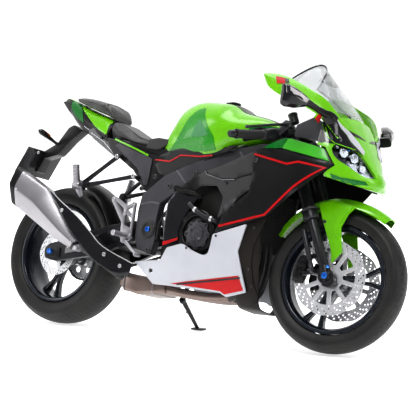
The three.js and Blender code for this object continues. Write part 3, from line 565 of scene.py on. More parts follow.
def film(name, outline, tree, laid, finish, slot, **how):
    """A painted field and its mirror image; laid is its lift off the body, its wall and its cell size."""
    lift, wall, size = laid
    pair(name, lambda: wrap(new(), outline, tree, lift=lift, wall=wall, size=size), finish, slot, **how)


def new():
    return bmesh.new()


# ---- wheels ----
TREAD_DEPTH = 3.5


def tyre(wheel, x, z, slashes, steps=540):
    """A tyre with slanted grooves cut into its crown."""
    half, bead = wheel["half"], wheel["bead"]
    height = wheel["radius"] - bead
    right = [(0, 0.8), (0.06, 0.88), (0.3, 0.975), (0.57, 1.0), (0.72, 0.88), (0.86, 0.68), (0.965, 0.36),
        (1, 0)]
    outline = [(bead + a * height, b * half) for a, b in right]
    outline += [(r, -y) for r, y in outline[-2::-1]]
    outer = spline(outline, 3)
    count = len(outer)
    inner = [(bead, 12 - 0.8 * half), (wheel["radius"] - 24, -0.5 * half),
        (wheel["radius"] - 24, 0.5 * half), (bead, 0.8 * half - 12)]
    pitch = math.tau / slashes
    sections = []
    for i in range(steps):
        angle = math.tau * i / steps
        row = []
        for k, (r, y) in enumerate(outer):
            share = y / half
            side = 1 if share > 0 else -1
            depth = 0.0
            if 0.1 < abs(share) < 0.86:
                bend = 0.75 * abs(share) ** 1.5 + (0.5 * pitch if side > 0 else 0)
                away = (angle + bend + pitch / 2) % pitch - pitch / 2
                ends = min(1, (abs(share) - 0.1) / 0.12, (0.86 - abs(share)) / 0.12)
                depth = TREAD_DEPTH * max(0, 1 - abs(away) * r / 6.5) * ends
            elif abs(k - count / 2) > count / 2 - 5 and k % 2:
                depth = 0.7
            row.append((x + (r - depth) * math.cos(angle), y, z + (r - depth) * math.sin(angle)))
        sections.append(row + [(x + r * math.cos(angle), y, z + r * math.sin(angle)) for r, y in inner])
    return rings(new(), sections, loop=True)


def rim(wheel, x, z, hub, first):
    """A cast wheel: a stepped barrel, a hub and three split spokes."""
    half = 0.84 * wheel["half"]
    outer = wheel["bead"] - 3
    lip = [(outer - 15, half - 1), (outer - 11, half + 1), (outer, half), (outer, half - 5),
        (outer - 7, half - 8), (outer - 7, 0.45 * half)]
    bed = [(outer - 24, 0.3 * half), (outer - 25, 0.62 * half), (outer - 19, half - 11)]
    profile = lip + [(r, -y) for r, y in reversed(lip)]
    profile += [(r, -y) for r, y in reversed(bed)] + bed
    bm = lathe(new(), x, z, profile, 96)
    lathe(bm, x, z, [(15, -hub), (30, -hub), (34, -hub + 5), (40, -0.4 * hub), (46, 0), (40, 0.4 * hub),
        (34, hub - 5), (30, hub), (15, hub)], 48)
    for i in range(3):
        angle = math.radians(first + 120 * i)
        for splay in (-1, 1):
            path = []
            for reach, turn in ((24, 0.16), (78, 0.1), (140, 0.13), (outer - 16, 0.2)):
                a = angle + splay * turn
                path.append((x + reach * math.cos(a), 0, z + reach * math.sin(a)))
            beam(bm, path, [(52, 34), (36, 21), (32, 16), (46, 26)], corner=0.45)
        web = [(x + r * math.cos(angle), 0, z + r * math.sin(angle)) for r in (28, 60, 92)]
        beam(bm, web, [(40, 30), (26, 20), (16, 7)], corner=0.4)
    return bm


def rotor(x, z, radius, y, windows, drills, bore=22, thick=5):
    """A drilled brake disc on a windowed carrier."""
    band = 0.76 * radius
    holes = [circle(x, z, bore, 28)]
    pitch = math.tau / windows
    for i in range(windows):
        start = i * pitch
        low, high = 0.36 * radius, band - 8
        gap_low, gap_high = 0.16 * pitch + 3.4 / low, 0.08 * pitch + 3.4 / high
        slot = [(high, start + gap_high), (high, start + pitch / 2), (high, start + pitch - gap_high),
            (low, start + pitch - gap_low), (low, start + gap_low)]
        holes.append(rounded([polar(x, z, r, a) for r, a in slot], 5, 3))
    for i in range(drills):
        a = math.tau * i / drills
        for row, (share, offset) in enumerate(((0.81, 0), (0.87, 0.33), (0.93, 0.66))):
            b = a + offset * math.tau / drills
            holes.append(circle(x + radius * share * math.cos(b), z + radius * share * math.sin(b), 3.6
                + 0.3 * row, 8))
    wave = [radius * (1 - 0.012 * (1 + math.cos(windows * math.tau * i / 180))) for i in range(180)]
    outline = [(x + r * math.cos(math.tau * i / 180), z + r * math.sin(math.tau * i / 180)) for i,
        r in enumerate(wave)]
    bm = plate(new(), outline, y - thick / 2, y + thick / 2, holes)
    for i in range(windows):
        a = math.tau * i / windows
        at = (x + (band - 1) * math.cos(a), y, z + (band - 1) * math.sin(a))
        rod(bm, (at[0], y - 4.5, at[2]), (at[0], y + 4.5, at[2]), 6, steps=12)
    return bm


piece("front_tyre_tread", tyre(FRONT, WHEEL_U, WHEEL_W, 22), TYRE, "tyre", "front_wheel", FORK, angle=50,
    replaces=["front_tyre"])
piece("rear_tyre_tread", tyre(REAR, REAR["x"], REAR["radius"], 24), TYRE, "tyre", "rear_wheel", angle=50,
    replaces=["rear_tyre"])
piece("front_wheel_casting", rim(FRONT, WHEEL_U, WHEEL_W, 70, 8 - 25), WHEEL, "black_wheel",
    "front_wheel", FORK, bevel=0.8, segments=1, replaces=["front_rim"])
piece("rear_wheel_casting", rim(REAR, REAR["x"], REAR["radius"], 76, -112), WHEEL, "black_wheel",
    "rear_wheel", bevel=0.8, segments=1, replaces=["rear_rim"])
pair("front_rotor_{}", lambda: rotor(WHEEL_U, WHEEL_W, FRONT["disc"], -FRONT["disc_y"], 10, 30), STEEL,
    "brake_steel", "front_wheel", space=FORK, bevel=0.5, segments=1, replaces=["front_disc_{}"])
piece("rear_rotor", rotor(REAR["x"], REAR["radius"], REAR["disc"], -REAR["disc_y"], 5, 20), STEEL,
    "brake_steel", "rear_wheel", bevel=0.5, segments=1, replaces=["rear_disc"])


def toothed(x, z, radius, teeth, depth, low, high, holes=()):
    """A sprocket plate; its bore is wide on the rear wheel and narrow on the drive shaft."""
    outline = []
    for i in range(teeth * 4):
        a = math.tau * i / (teeth * 4)
        r = radius - depth * (0, 0.5, 1, 0.5)[i % 4]
        outline.append(polar(x, z, r, a))
    return plate(new(), outline, low, high, [circle(x, z, 24 if radius > 50 else 8, 24), *holes])


rear_windows = [circle(REAR["x"] + 60 * math.cos(a), REAR["radius"] + 60 * math.sin(a), 14, 16)
    for a in [math.tau * i / 6 for i in range(6)]]
rear_sprocket = toothed(REAR["x"], REAR["radius"], SPROCKET["rear"] - 1, 40, 9, CHAIN_Y - 3, CHAIN_Y + 3,
    rear_windows)
lathe(rear_sprocket, REAR["x"], REAR["radius"], [(24, 79), (40, 79), (40, CHAIN_Y + 2),
    (24, CHAIN_Y + 2)], 32)
piece("rear_sprocket_teeth", rear_sprocket, SILVER, "silver_metal", "rear_wheel", bevel=0.5, segments=1,
    replaces=["rear_sprocket"])
piece("drive_sprocket_teeth", toothed(SPROCKET["x"], SPROCKET["z"], 20, 12, 3.5, CHAIN_Y - 4, CHAIN_Y
    + 4), SILVER, "silver_metal", "drive_sprocket", bevel=0.4, segments=1, replaces=["drive_sprocket"])


def chain_line(grow):
    """The chain's run round both sprockets, as evenly spaced points."""
    ends = [(REAR["x"], REAR["radius"], SPROCKET["rear"] + grow), (SPROCKET["x"], SPROCKET["z"],
        SPROCKET["front"] + grow)]
    dx, dz = ends[1][0] - ends[0][0], ends[1][1] - ends[0][1]
    tilt, wide = math.atan2(dz, dx), math.acos((ends[0][2] - ends[1][2]) / math.hypot(dx, dz))
    line = [(ends[0][0] + ends[0][2] * math.cos(a), ends[0][1] + ends[0][2] * math.sin(a)) for a in [tilt
        + wide + (math.tau - 2 * wide) * i / 60 for i in range(61)]]
    line += [(ends[1][0] + ends[1][2] * math.cos(a), ends[1][1] + ends[1][2] * math.sin(a)) for a in [tilt
        - wide + 2 * wide * i / 30 for i in range(31)]]
    return line


def even(points, gap):
    """Points a fixed gap apart along a closed line."""
    closed = [Vector(p) for p in points] + [Vector(points[0])]
    lengths = [(b - a).length for a, b in zip(closed, closed[1:])]
    count = round(sum(lengths) / gap)
    count += count % 2
    made = []
    step, i, used = sum(lengths) / count, 0, 0.0
    for k in range(count):
        want = k * step
        while used + lengths[i] < want:
            used += lengths[i]
            i += 1
        made.append(closed[i].lerp(closed[i + 1], (want - used) / lengths[i]))
    return made


def chain():
    """Side plates and rollers of a roller chain."""
    pins = even(chain_line(2), 14.5)
    bm = new()
    for i, pin in enumerate(pins):
        after = pins[(i + 1) % len(pins)]
        rod(bm, (pin.x, CHAIN_Y - 8, pin.y), (pin.x, CHAIN_Y + 8, pin.y), 3.4, steps=8)
        along = (after - pin).normalized()
        out = Vector((-along.y, along.x))
        spread = 5.2 if i % 2 else 7.4
        outline = []
        for centre, way in ((pin, -1), (after, 1)):
            for a in (-80, -30, 30, 80):
                t = math.radians(a)
                outline.append(centre + along * (way * 5 * math.cos(t)) + out * (way * 5 * math.sin(t)))
        for low in (-spread, spread - 1.6):
            plate(bm, [tuple(p) for p in outline], CHAIN_Y + low, CHAIN_Y + low + 1.6)
    return bm


piece("chain_links", chain(), DARK_METAL, "dark_metal", "swingarm", replaces=["drive_chain"])


# ---- fork, mudguard and controls, in the fork's frame ----
def fork_leg():
    """The upper tube with its stepped collar and top cap."""
    u, v = WHEEL_U, -FORK_Y
    profile = [(0, 29), (0.006, 32.5), (0.03, 33.5), (0.055, 33), (0.075, 31), (0.1, 30.5), (0.105, 27.5),
        (0.3, 27), (0.62, 27.5), (0.64, 28.5), (0.97, 28.5), (1, 27)]
    bm = turned(new(), (u, v, 560), (u, v, 995), profile, 32)
    turned(bm, (u, v, 993), (u, v, 1004), [(0, 20), (0.4, 22), (1, 20)], 6)
    return turned(bm, (u, v, 1000), (u, v, 1012), [(0, 9), (0.8, 9), (1, 7)], 16)


def slider():
    """The lower leg, its axle clamp, caliper and damper reservoir."""
    u, v, w = WHEEL_U, -FORK_Y, WHEEL_W
    bm = turned(new(), (u, v, w - 6), (u, v, 640), [(0, 24), (0.1, 24), (0.16, 19.5), (0.17, 20.5),
        (1, 20)], 28)
    rod(bm, (u, v, 600), (u, v, 700), 18, steps=20)
    rod(bm, (u, -127, w), (u, -85, w), 34, steps=36, edge=4)
    plate(bm, rounded([(u - 20, w + 40), (u + 26, w + 38), (u + 30, w - 36), (u + 4, w - 52),
        (u - 26, w - 34)], 10), -124, -88)
    for rise in (20, 92):
        beam(bm, [(u - 4, -101, w + rise), (u - 52, -98, w + rise * 0.9 + 24), (u - 100, -95, w + 34
            + rise * 0.8)], [(18, 22), (14, 16), (18, 20)])
    low, high = to_fork(656, 301), to_fork(588, 475)
    low, high = (low[0] + 8, -116, low[1]), (high[0] + 8, -116, high[1])
    return turned(bm, low, high, [(0, 8), (0.03, 10.5), (0.2, 10.5), (0.22, 8.5), (0.3, 8.5),
        (0.31, 10.5), (0.95, 10.5), (1, 8)], 20)


def caliper():
    """A radial two-piston-pair caliper astride the disc."""
    bm = new()
    turn = math.radians(145)
    middle = Vector((WHEEL_U + 128 * math.cos(turn), -80, WHEEL_W + 128 * math.sin(turn)))
    out = Vector((math.cos(turn), 0, math.sin(turn)))
    along = Vector((-math.sin(turn), 0, math.cos(turn)))
    beam(bm, [middle + along * t + out * o for t, o in ((-56, -8), (-30, 0), (0, 4), (30, 0), (56, -8))],
        [(26, 34), (44, 52), (40, 54), (44, 52), (26, 34)], corner=0.35)
    for t in (-27, 27):
        spot = middle + along * t - Vector((0, 20, 0))
        turned(bm, spot, spot - Vector((0, 9, 0)), [(0, 18), (0.6, 18), (1, 14)], 24)
        turned(bm, spot - Vector((0, 8, 0)), spot - Vector((0, 12, 0)), [(0, 9), (1, 7)], 16)
    for t in (-46, 46):
        bolt(bm, middle + along * t + out * 20, out, 7)
    return bm


pair("fork_outer_{}", fork_leg, BLACK_METAL, "black_metal", "steering", space=FORK,
    replaces=["fork_tube_{}"])
pair("fork_inner_{}", slider, BLACK_METAL, "black_metal", "fork_lower", space=FORK, bevel=1.2,
    replaces=["fork_slider_{}"])
pair("brake_caliper_{}", caliper, SATIN, "black_metal", "fork_lower", space=FORK, bevel=1.0)
pair("fork_ring_{}", lambda: turned(new(), (WHEEL_U, -FORK_Y, 599), (WHEEL_U, -FORK_Y, 609), [(0, 34.2),
    (0.2, 35), (0.8, 35), (1, 33)], 36), DARK_METAL, "dark_metal", "steering", space=FORK)


def axle_ends():
    """Castellated nuts on both ends of the front axle."""
    bm = new()
    for side in (-1, 1):
        star = []
        for i in range(48):
            r = 23 if i % 8 in (0, 1, 2, 3) else 18
            star.append((WHEEL_U + r * math.cos(math.tau * i / 48), WHEEL_W
                + r * math.sin(math.tau * i / 48)))
        plate(bm, star, side * 130 - 3, side * 130 + 3)
    return bm


piece("axle_nuts", axle_ends(), DARK_METAL, "dark_metal", "fork_lower", FORK, bevel=0.8)
blue_ends = new()
for end in (-1, 1):
    bolt(blue_ends, (WHEEL_U, end * 133, WHEEL_W), (0, end, 0), 13, 5)
    bolt(blue_ends, (WHEEL_U + 20, end * 126, WHEEL_W + 30), (0.4, end, 0), 6)
piece("axle_bolts", blue_ends, BLUE, "brake_steel", "fork_lower", FORK)
piece("front_axle", rod(new(), (WHEEL_U, -128, WHEEL_W), (WHEEL_U, 128, WHEEL_W), 12), BLACK_METAL,
    "black_metal", "fork_lower", FORK)

FENDER = [(28, 38, 337, 30), (36, 55, 337, 32), (45, 68, 336, 34), (60, 82, 335, 36), (71, 86, 335, 36),
    (78, 76, 335, 33), (90, 70, 334, 33), (110, 72, 330, 33), (124, 66, 320, 30)]


def fender():
    """The mudguard's blade: a crowned strip with a crease each side, ending in a point in front."""
    rows = []
    for turn, half, crown, drop in spline(FENDER, 4):
        angle = math.radians(turn)
        row = []
        for share in (-1, -0.94, -0.86, -0.74, -0.6, -0.4, -0.2, 0, 0.2, 0.4, 0.6, 0.74, 0.86, 0.94, 1):
            side = abs(share)
            fall = drop * (0.28 * side ** 2 if side < 0.74 else 0.153
                + 0.847 * ((side - 0.74) / 0.26) ** 1.25)
            reach = crown - fall
            row.append(Vector((WHEEL_U + reach * math.cos(angle), half * share, WHEEL_W
                + reach * math.sin(angle))))
        rows.append(row)
    bm = rings(new(), rows, closed=False)
    bmesh.ops.recalc_face_normals(bm, faces=bm.faces)
    hub = Vector((WHEEL_U, 0, WHEEL_W))
    return thicken(bm, lambda v: (hub - Vector((v.co.x, 0, v.co.z))).normalized() * 4)


LEG_FRONT = [(634, 590), (700, 612), (800, 592), (770, 560), (745, 500), (766, 402), (752, 385),
    (728, 353), (716, 410), (657, 536)]
LEG_INNER = [(700, 604), (786, 588), (760, 556), (734, 500), (744, 446), (722, 470), (712, 540)]


def fender_leg():
    """The mudguard's side plate on the fork leg, with a thicker rear part."""
    bm = plate(new(), rounded([to_fork(*p) for p in LEG_FRONT], 7, 3), -93, -86)
    return plate(bm, rounded([to_fork(*p) for p in LEG_INNER], 6, 3), -97, -91)


piece("fender_blade", fender(), LIME, "lime_plastic", "fork_lower", FORK, angle=28,
    replaces=["front_fender"])
pair("fender_leg_{}", fender_leg, LIME, "lime_plastic", "fork_lower", space=FORK, bevel=1.8, segments=2)
fender_bolts = new()
for end in (-1, 1):
    for spot in ((672, 520), (708, 408)):
        u, w = to_fork(*spot)
        bolt(fender_bolts, (u, end * 93, w), (0, end, 0), 7, 4)
piece("fender_bolts", fender_bolts, DARK_METAL, "dark_metal", "fork_lower", FORK)
vent = new()
for end in (-1, 1):
    points = []
    for turn, share, lift in ((72, 0.3, 2), (78, 0.78, 1), (86, 0.42, 2), (80, 0.28, 2)):
        a = math.radians(turn)
        reach = 335 - 33 * 0.28 * share ** 2 + lift
        points.append((WHEEL_U + reach * math.cos(a), end * 76 * share, WHEEL_W + reach * math.sin(a)))
    vent.faces.new([vent.verts.new(p) for p in points])
thicken(vent, (0, 0, 1.5))
piece("fender_vents", vent, DEEP_GREEN, "lime_plastic", "fork_lower", FORK)

BAR_START, BAR_END = Vector((14, -135, 944)), Vector((-118, -355, 938))
LEVER_PIVOT, LEVER_TIP = Vector((70, -190, 950)), Vector((-46, -362, 938))
RESERVOIR = (84, -158, 960, 1004, 19)


def along_bar(t):
    return BAR_START.lerp(BAR_END, t)


def handlebar():
    """Fork clamp, bar, switch box and bar end of one side."""
    u, v = WHEEL_U, -FORK_Y
    bm = turned(new(), (u, v, 928), (u, v, 954), [(0, 38), (0.1, 40), (0.9, 40), (1, 38)], 32)
    rod(bm, along_bar(0), along_bar(1), 11, steps=20)
    beam(bm, [along_bar(0.12), along_bar(0.2), along_bar(0.32), along_bar(0.35)], [(40, 38), (50, 46),
        (44, 40), (38, 34)], side=(0, 0, 1), corner=0.35)
    beam(bm, [along_bar(0.18) + Vector((14, 4, 0)), LEVER_PIVOT + Vector((-6, 4, 0))],
        [(22, 30), (18, 24)], smooth=1)
    rod(bm, along_bar(0.945), along_bar(1.06), 17, 14, 24, edge=3)
    turned(bm, along_bar(0.33), along_bar(0.36), [(0, 23), (1, 23)], 24)
    return bolt(bm, (u + 38, v - 6, 941), (1, -0.2, 0), 6)


def grip():
    """Moulded rubber with collars and raised ribs."""
    profile = [(0, 21), (0.02, 23), (0.05, 23), (0.07, 19)]
    ribs = 15
    for i in range(ribs):
        t = 0.09 + 0.83 * i / ribs
        profile += [(t, 17.2), (t + 0.012, 18.4), (t + 0.036, 18.4), (t + 0.048, 17.2)]
    profile += [(0.94, 18.5), (0.955, 21), (0.985, 21), (1, 19)]
    return turned(new(), along_bar(0.36), along_bar(0.935), profile, 28)


def lever():
    """A bent blade with a rounded tip, on its pivot."""
    bend = LEVER_PIVOT.lerp(LEVER_TIP, 0.45) + Vector((10, 0, 0))
    bm = beam(new(), [LEVER_PIVOT, LEVER_PIVOT.lerp(bend, 0.5) + Vector((3, 0, 0)), bend,
        bend.lerp(LEVER_TIP, 0.6), LEVER_TIP], [(12, 20), (10, 15), (9, 12), (8, 11), (9, 12)],
        side=(0, 0, 1), corner=0.45)
    for k in range(2):
        rod(bm, LEVER_TIP - Vector((0, 0, 5 - k)), LEVER_TIP + Vector((0, 0, 5 - k)), 7.5)
    return rod(bm, LEVER_PIVOT - Vector((0, 0, 11)), LEVER_PIVOT + Vector((0, 0, 11)), 11, steps=20)


def reservoir():
    """The brake fluid pot and its bracket."""
    u, v, low, high, radius = RESERVOIR
    bm = turned(new(), (u, v, low), (u, v, high - 8), [(0, radius - 2), (0.05, radius), (1, radius)], 28)
    turned(bm, (u, v, high - 8), (u, v, high), [(0, radius + 1.5), (0.8, radius + 1.5), (1, radius)], 12)
    return beam(bm, [along_bar(0.2), Vector((u, v, low + 10))], [(14, 10), (12, 8)], smooth=1)


pair("bar_{}", handlebar, BLACK_METAL, "black_metal", "steering", space=FORK, bevel=1.0,
    replaces=["handlebar_{}"])
piece("grip_sleeve_right", grip(), GRIP, "grip_rubber", "throttle", FORK, replaces=["throttle_grip"])
piece("grip_sleeve_left", grip(), GRIP, "grip_rubber", "steering", FORK, mirror=True)
piece("brake_lever_blade", lever(), BLACK_METAL, "black_metal", "brake_lever", FORK,
    replaces=["brake_lever"])
piece("clutch_lever_blade", lever(), BLACK_METAL, "black_metal", "clutch_lever", FORK, mirror=True,
    replaces=["clutch_lever"])
piece("brake_reservoir", reservoir(), SATIN, "black_plastic", "steering", FORK)


def yokes():
    """The two fork clamps, with waisted sides, on the stem."""
    bm = rod(new(), (0, 0, 812), (0, 0, 985), 14, steps=20)
    for low, high, front in ((815, 841, 64), (963, 981, 62)):
        outline = [(-22, -40), (-26, 0), (-22, 40), (-4, 112), (8, 144), (52, 144), (front, 112),
            (front - 12, 50), (front - 16, 0), (front - 12, -50), (front, -112), (52, -144), (8, -144),
            (-4, -112)]
        slab = plate(new(), rounded(outline, 14, 3), low, high, [circle(WHEEL_U, side * FORK_Y, 30, 28)
            for side in (-1, 1)])
        slab.transform(Matrix(((1, 0, 0, 0), (0, 0, 1, 0), (0, 1, 0, 0), (0, 0, 0, 1))))
        bmesh.ops.reverse_faces(slab, faces=slab.faces)
        absorb(bm, slab)
    turned(bm, (0, 0, 980), (0, 0, 992), [(0, 22), (0.7, 22), (1, 19)], 6)
    return turned(bm, (WHEEL_U, 0, 980), (WHEEL_U, 0, 990), [(0, 14), (0.8, 14), (1, 12)], 20)


piece("fork_clamps", yokes(), DARK_METAL, "dark_metal", "steering", FORK, bevel=1.4,
    replaces=["steering_stem"])


# ---- fairing ----
def fairing_half(x, z):
    """Half width of the fairing skin: fullest at knee height, tapering to the belly and the nose."""
    below = 62 * max(0, (650 - z) / 450) ** 1.5
    above = 35 * max(0, (z - 650) / 200) ** 2
    nose = 1 - 0.8 * min(1, max(0, (x - 480) / 400)) ** 4
    tail = 25 * max(0, (100 - x) / 300)
    return (238 - below - above) * nose - tail


SIDE = [(386, 771), (430, 800), (526, 846), (716, 802), (758, 737), (655, 647), (493, 514), (405, 489),
    (240, 437), (257, 462), (284, 515), (405, 612), (410, 685)]
BELLY = [(401, 479), (235, 430), (221, 372), (214, 352, 8), (196, 341, 10), (173, 344, 12),
    (128, 358, 14), (76, 384, 12), (-11, 363), (-47, 309), (-198, 296), (-87, 206), (13, 204), (281, 193),
    (308, 179), (409, 204), (363, 367)]
BAND_LIGHT = [(527, 797), (545, 839), (562, 838), (712, 803), (742, 752)]
BAND_DARK = [(431, 795), (470, 818), (527, 842), (545, 839), (527, 797)]
RED_LINE = [(397, 769), (566, 731), (617, 742), (730, 724), (656, 672), (609, 635), (488, 521),
    (262, 464)]
BELLY_RED = [(15, 214), (372, 269), (398, 211), (303, 188), (281, 200)]
RED_STRIPE_LINE = [(52, 212), (381, 260)]


def ribbon(points, width):
    """A mitred stripe of even width along a line in the side view."""
    line = [Vector(p) for p in points]
    left, right = [], []
    for i, p in enumerate(line):
        before = (p - line[i - 1]).normalized() if i else (line[1] - p).normalized()
        after = (line[i + 1] - p).normalized() if i + 1 < len(line) else before
        mitre = (before + after).normalized()
        normal = Vector((-mitre.y, mitre.x))
        reach = width / 2 / max(0.5, normal.dot(Vector((-before.y, before.x))))
        left.append(tuple(p + normal * reach))
        right.append(tuple(p - normal * reach))
    return left + right[::-1]


panel("side_panel_{}", rounded(SIDE, 10, 3), fairing_half, 7, SATIN, "gloss_black", bevel=1.6,
    replaces=["side_fairing_{}"])
panel("belly_panel_{}", rounded(BELLY, 6, 3), fairing_half, 7, WHITE, "white_plastic",
    holes=[circle(-100, 262, 11, 20), circle(100, 366, 6, 14)], bevel=2.2, segments=3,
    replaces=["belly_fairing_{}"])
panel("side_band_light_{}", rounded(BAND_LIGHT, 3, 2), fairing_half, 6, MID_GREEN, "lime_plastic", lift=4,
    bevel=1.2)
panel("side_band_dark_{}", rounded(BAND_DARK, 3, 2), fairing_half, 6, DEEP_GREEN, "lime_plastic", lift=4,
    bevel=1.2)
panel("side_red_line_{}", ribbon(RED_LINE, 8.5), fairing_half, 2, RED, "gloss_black", lift=1.2)
panel("belly_red_{}", BELLY_RED, fairing_half, 2, RED, "white_plastic", lift=1.2)
panel("belly_line_{}", ribbon(RED_STRIPE_LINE, 7), fairing_half, 2, SATIN, "gloss_black", lift=2.2)
# a dark shoulder runs above the red line
SHOULDER = [(398, 785), (430, 796), (523, 790), (617, 765), (742, 748), (738, 730), (617, 752),
    (566, 744)]
panel("side_shoulder_{}", rounded(SHOULDER, 3, 2), fairing_half, 5, SATIN, "gloss_black", lift=2.5,
    bevel=1.0)


def inner_half(x, z):
    """The inner side panel between the frame and the fairing."""
    return 156 + 58 * max(0, min(1, (x - 80) / 330)) + 0.06 * (z - 560)


INNER = [(-20, 622), (60, 682), (200, 720), (330, 762), (392, 780), (420, 700), (418, 640), (330, 590),
    (252, 520), (215, 500), (240, 590), (196, 640), (110, 640), (40, 600)]
SCOOP = [(120, 700), (210, 722), (330, 752), (404, 742), (412, 690), (300, 668), (235, 668), (150, 678)]
CLUTCH_PANEL = [(-62, 560), (-20, 616), (40, 592), (100, 590), (60, 540), (30, 490), (14, 440), (22, 398),
    (-10, 388), (-52, 372), (-66, 440)]
panel("inner_panel_{}", rounded(INNER, 12, 3), inner_half, 6, SATIN, "gloss_black", bevel=1.6)
panel("inner_scoop_{}", rounded(SCOOP, 10, 3), lambda x, z: inner_half(x, z) + 5, 4, SATIN, "gloss_black",
    bevel=1.5)
panel("inner_scoop_edge_{}", ribbon([(124, 700), (136, 686), (232, 662), (300, 664)], 3.5),
    lambda x, z: inner_half(x, z) + 9, 4, FRAME_METAL, "frame_metal")
panel("engine_side_panel_{}", rounded(CLUTCH_PANEL, 10, 3), 168, 6, GLOSS, "gloss_black", bevel=1.6)
panel("engine_side_red_{}", [(-60, 389), (20, 412), (16, 400), (-56, 374)], 170, 3, RED, "gloss_black")
panel_bolts = new()
for end in (-1, 1):
    for x, z in ((414, 742), (303, 560), (250, 650)):
        bolt(panel_bolts, (x, end * (inner_half(x, z) + 2 if x < 400 else fairing_half(x, z) + 1), z),
            (0, end, 0), 9 if x > 400 else 6, 4)
    bolt(panel_bolts, (-100, end * (fairing_half(-100, 262) - 2), 262), (0, end, 0), 9, 3)
    bolt(panel_bolts, (100, end * (fairing_half(100, 366) - 2), 366), (0, end, 0), 5, 3)
    bolt(panel_bolts, (252, end * (fairing_half(252, 424) + 1), 424), (0, end, 0), 5, 3)
piece("panel_bolts", panel_bolts, DARK_METAL, "dark_metal")

# the duct behind the front wheel, with its rolled edge, and the ribbed radiator inside it
DUCT = [(206, 476), (196, 400), (180, 320), (166, 262), (150, 190), (132, 156), (100, 140), (0, 130)]


def duct():
    """An open scoop behind the front wheel, drawn in towards its front edge."""
    rows = []
    for x, share in ((344, 1.0), (372, 0.99), (400, 0.96), (424, 0.9), (436, 0.86), (440, 0.84)):
        half = [(-y * share, z) for y, z in spline(DUCT, 3)]
        rows.append([(x, y, z) for y, z in half] + [(x, -y, z) for y, z in half[-2::-1]])
    bm = rings(new(), rows, closed=False)
    bmesh.ops.recalc_face_normals(bm, faces=bm.faces)
    middle = Vector((0, 0, 320))
    return thicken(bm, lambda v: (middle - Vector((0, v.co.y, v.co.z))).normalized() * 5)


piece("radiator_duct_shell", duct(), BROWN, "black_plastic", bevel=1.4, replaces=["radiator_duct"])
# the side panel's return behind the white flank


def duct_half(x, z):
    return fairing_half(x, z) - 5 - 0.4 * (x - 363)


DUCT_SIDE = [(401, 486), (420, 498), (470, 520), (452, 470), (424, 400), (416, 330), (424, 250),
    (446, 190), (440, 160), (420, 168), (409, 200), (363, 367)]
panel("duct_flank_{}", rounded(DUCT_SIDE, 6, 3), duct_half, 5, BROWN, "black_plastic", bevel=1.6)
duct_bolts = new()
for end in (-1, 1):
    for x, z in ((420, 470), (404, 300), (416, 232)):
        bolt(duct_bolts, (x, end * (duct_half(x, z) - 1), z), (0, end, 0), 6, 3)
piece("duct_bolts", duct_bolts, DARK_METAL, "dark_metal")


def radiator():
    """Core, header tanks and close ribs."""
    bm = new()
    low, high = (332, 394), (374, 642)
    lean = (high[0] - low[0]) / (high[1] - low[1])
    for k in range(34):
        z = low[1] + 4 + (high[1] - low[1] - 8) * k / 33
        x = low[0] + lean * (z - low[1]) + 12
        beam(bm, [(x, -138, z), (x, 138, z)], [(3, 12), (3, 12)], side=(0, 0, 1), smooth=1, corner=0.1)
    plate(bm, [(low[0] - 10, low[1]), (low[0] + 6, low[1]), (high[0] + 6, high[1]),
        (high[0] - 10, high[1])], -140, 140)
    for end in (-1, 1):
        plate(bm, rounded([(low[0] - 12, low[1] - 2), (low[0] + 24, low[1] - 4),
            (high[0] + 24, high[1] + 4), (high[0] - 12, high[1] + 5)], 6), end * 148 - 10, end * 152)
    return bm


piece("radiator_core", radiator(), MATT, "dark_metal", replaces=["radiator"])

# ---- nose ----
NOSE = [
    (884, [(0, 706), (9, 703), (14, 697), (13, 691), (9, 686), (0, 684)]),
    (870, [(0, 733), (20, 728), (40, 717), (50, 700), (44, 680), (0, 672)]),
    (852, [(0, 757), (30, 752), (62, 736), (82, 706), (74, 672), (0, 660)]),
    (802, [(0, 848), (60, 840), (116, 808), (152, 752), (152, 680), (0, 652)]),
    (742, [(0, 956), (96, 936), (168, 880), (198, 800), (196, 690), (0, 640)]),
    (690, [(0, 1030), (120, 985), (196, 915), (218, 820), (214, 720), (0, 640)]),
]


def finer(half, steps=5):
    """A half section eased round its corners but still creased."""
    made = spline(half, steps)
    straight = []
    for i in range(len(half) - 1):
        for k in range(steps):
            t = k / steps
            straight.append([a + (b - a) * t for a, b in zip(half[i], half[i + 1])])
    straight.append(half[-1])
    return [tuple(0.55 * a + 0.45 * b for a, b in zip(p, q)) for p, q in zip(made, straight)]


def nose_sections(steps):
    stations = spline([(x, *[v for p in half for v in p]) for x, half in NOSE], steps)
    return [(s[0], [(s[i], s[i + 1]) for i in range(1, len(s), 2)]) for s in stations]


def whole(x, half):
    return [(x, -y, z) for y, z in half] + [(x, y, z) for y, z in half[-2:0:-1]]


def nose_solid(shrink=0.0):
    """The closed nose form, or a smaller one inside it."""
    rows = []
    for x, half in nose_sections(4):
        section = finer(half)
        if shrink:
            share = max(0.45, 1 - shrink / max(half[3][0], 20))
            section = [(y * share, 745 + (z - 745) * (1 - shrink * 0.004)) for y, z in section]
        rows.append(whole(x - shrink * 0.75, section))
    return rings(new(), rows)


LENS_EDGE = [(36, 716), (44, 745), (60, 775), (86, 806), (118, 830), (158, 834), (188, 818), (194, 790),
    (180, 762), (150, 742), (118, 724), (78, 712)]


def front_slab(outline, low, high):
    """A flat outline of (y, z) points seen from the front, from x = low to x = high."""
    return rings(new(), [[(x, y, z) for y, z in outline] for x in (low, high)])


def solid_object(name, bm):
    bmesh.ops.remove_doubles(bm, verts=bm.verts, dist=0.02)
    bmesh.ops.recalc_face_normals(bm, faces=bm.faces)
    mesh = bpy.data.meshes.new(name)
    bm.to_mesh(mesh)
    bm.free()
    obj = bpy.data.objects.new(name, mesh)
    bpy.context.scene.collection.objects.link(obj)
    return obj


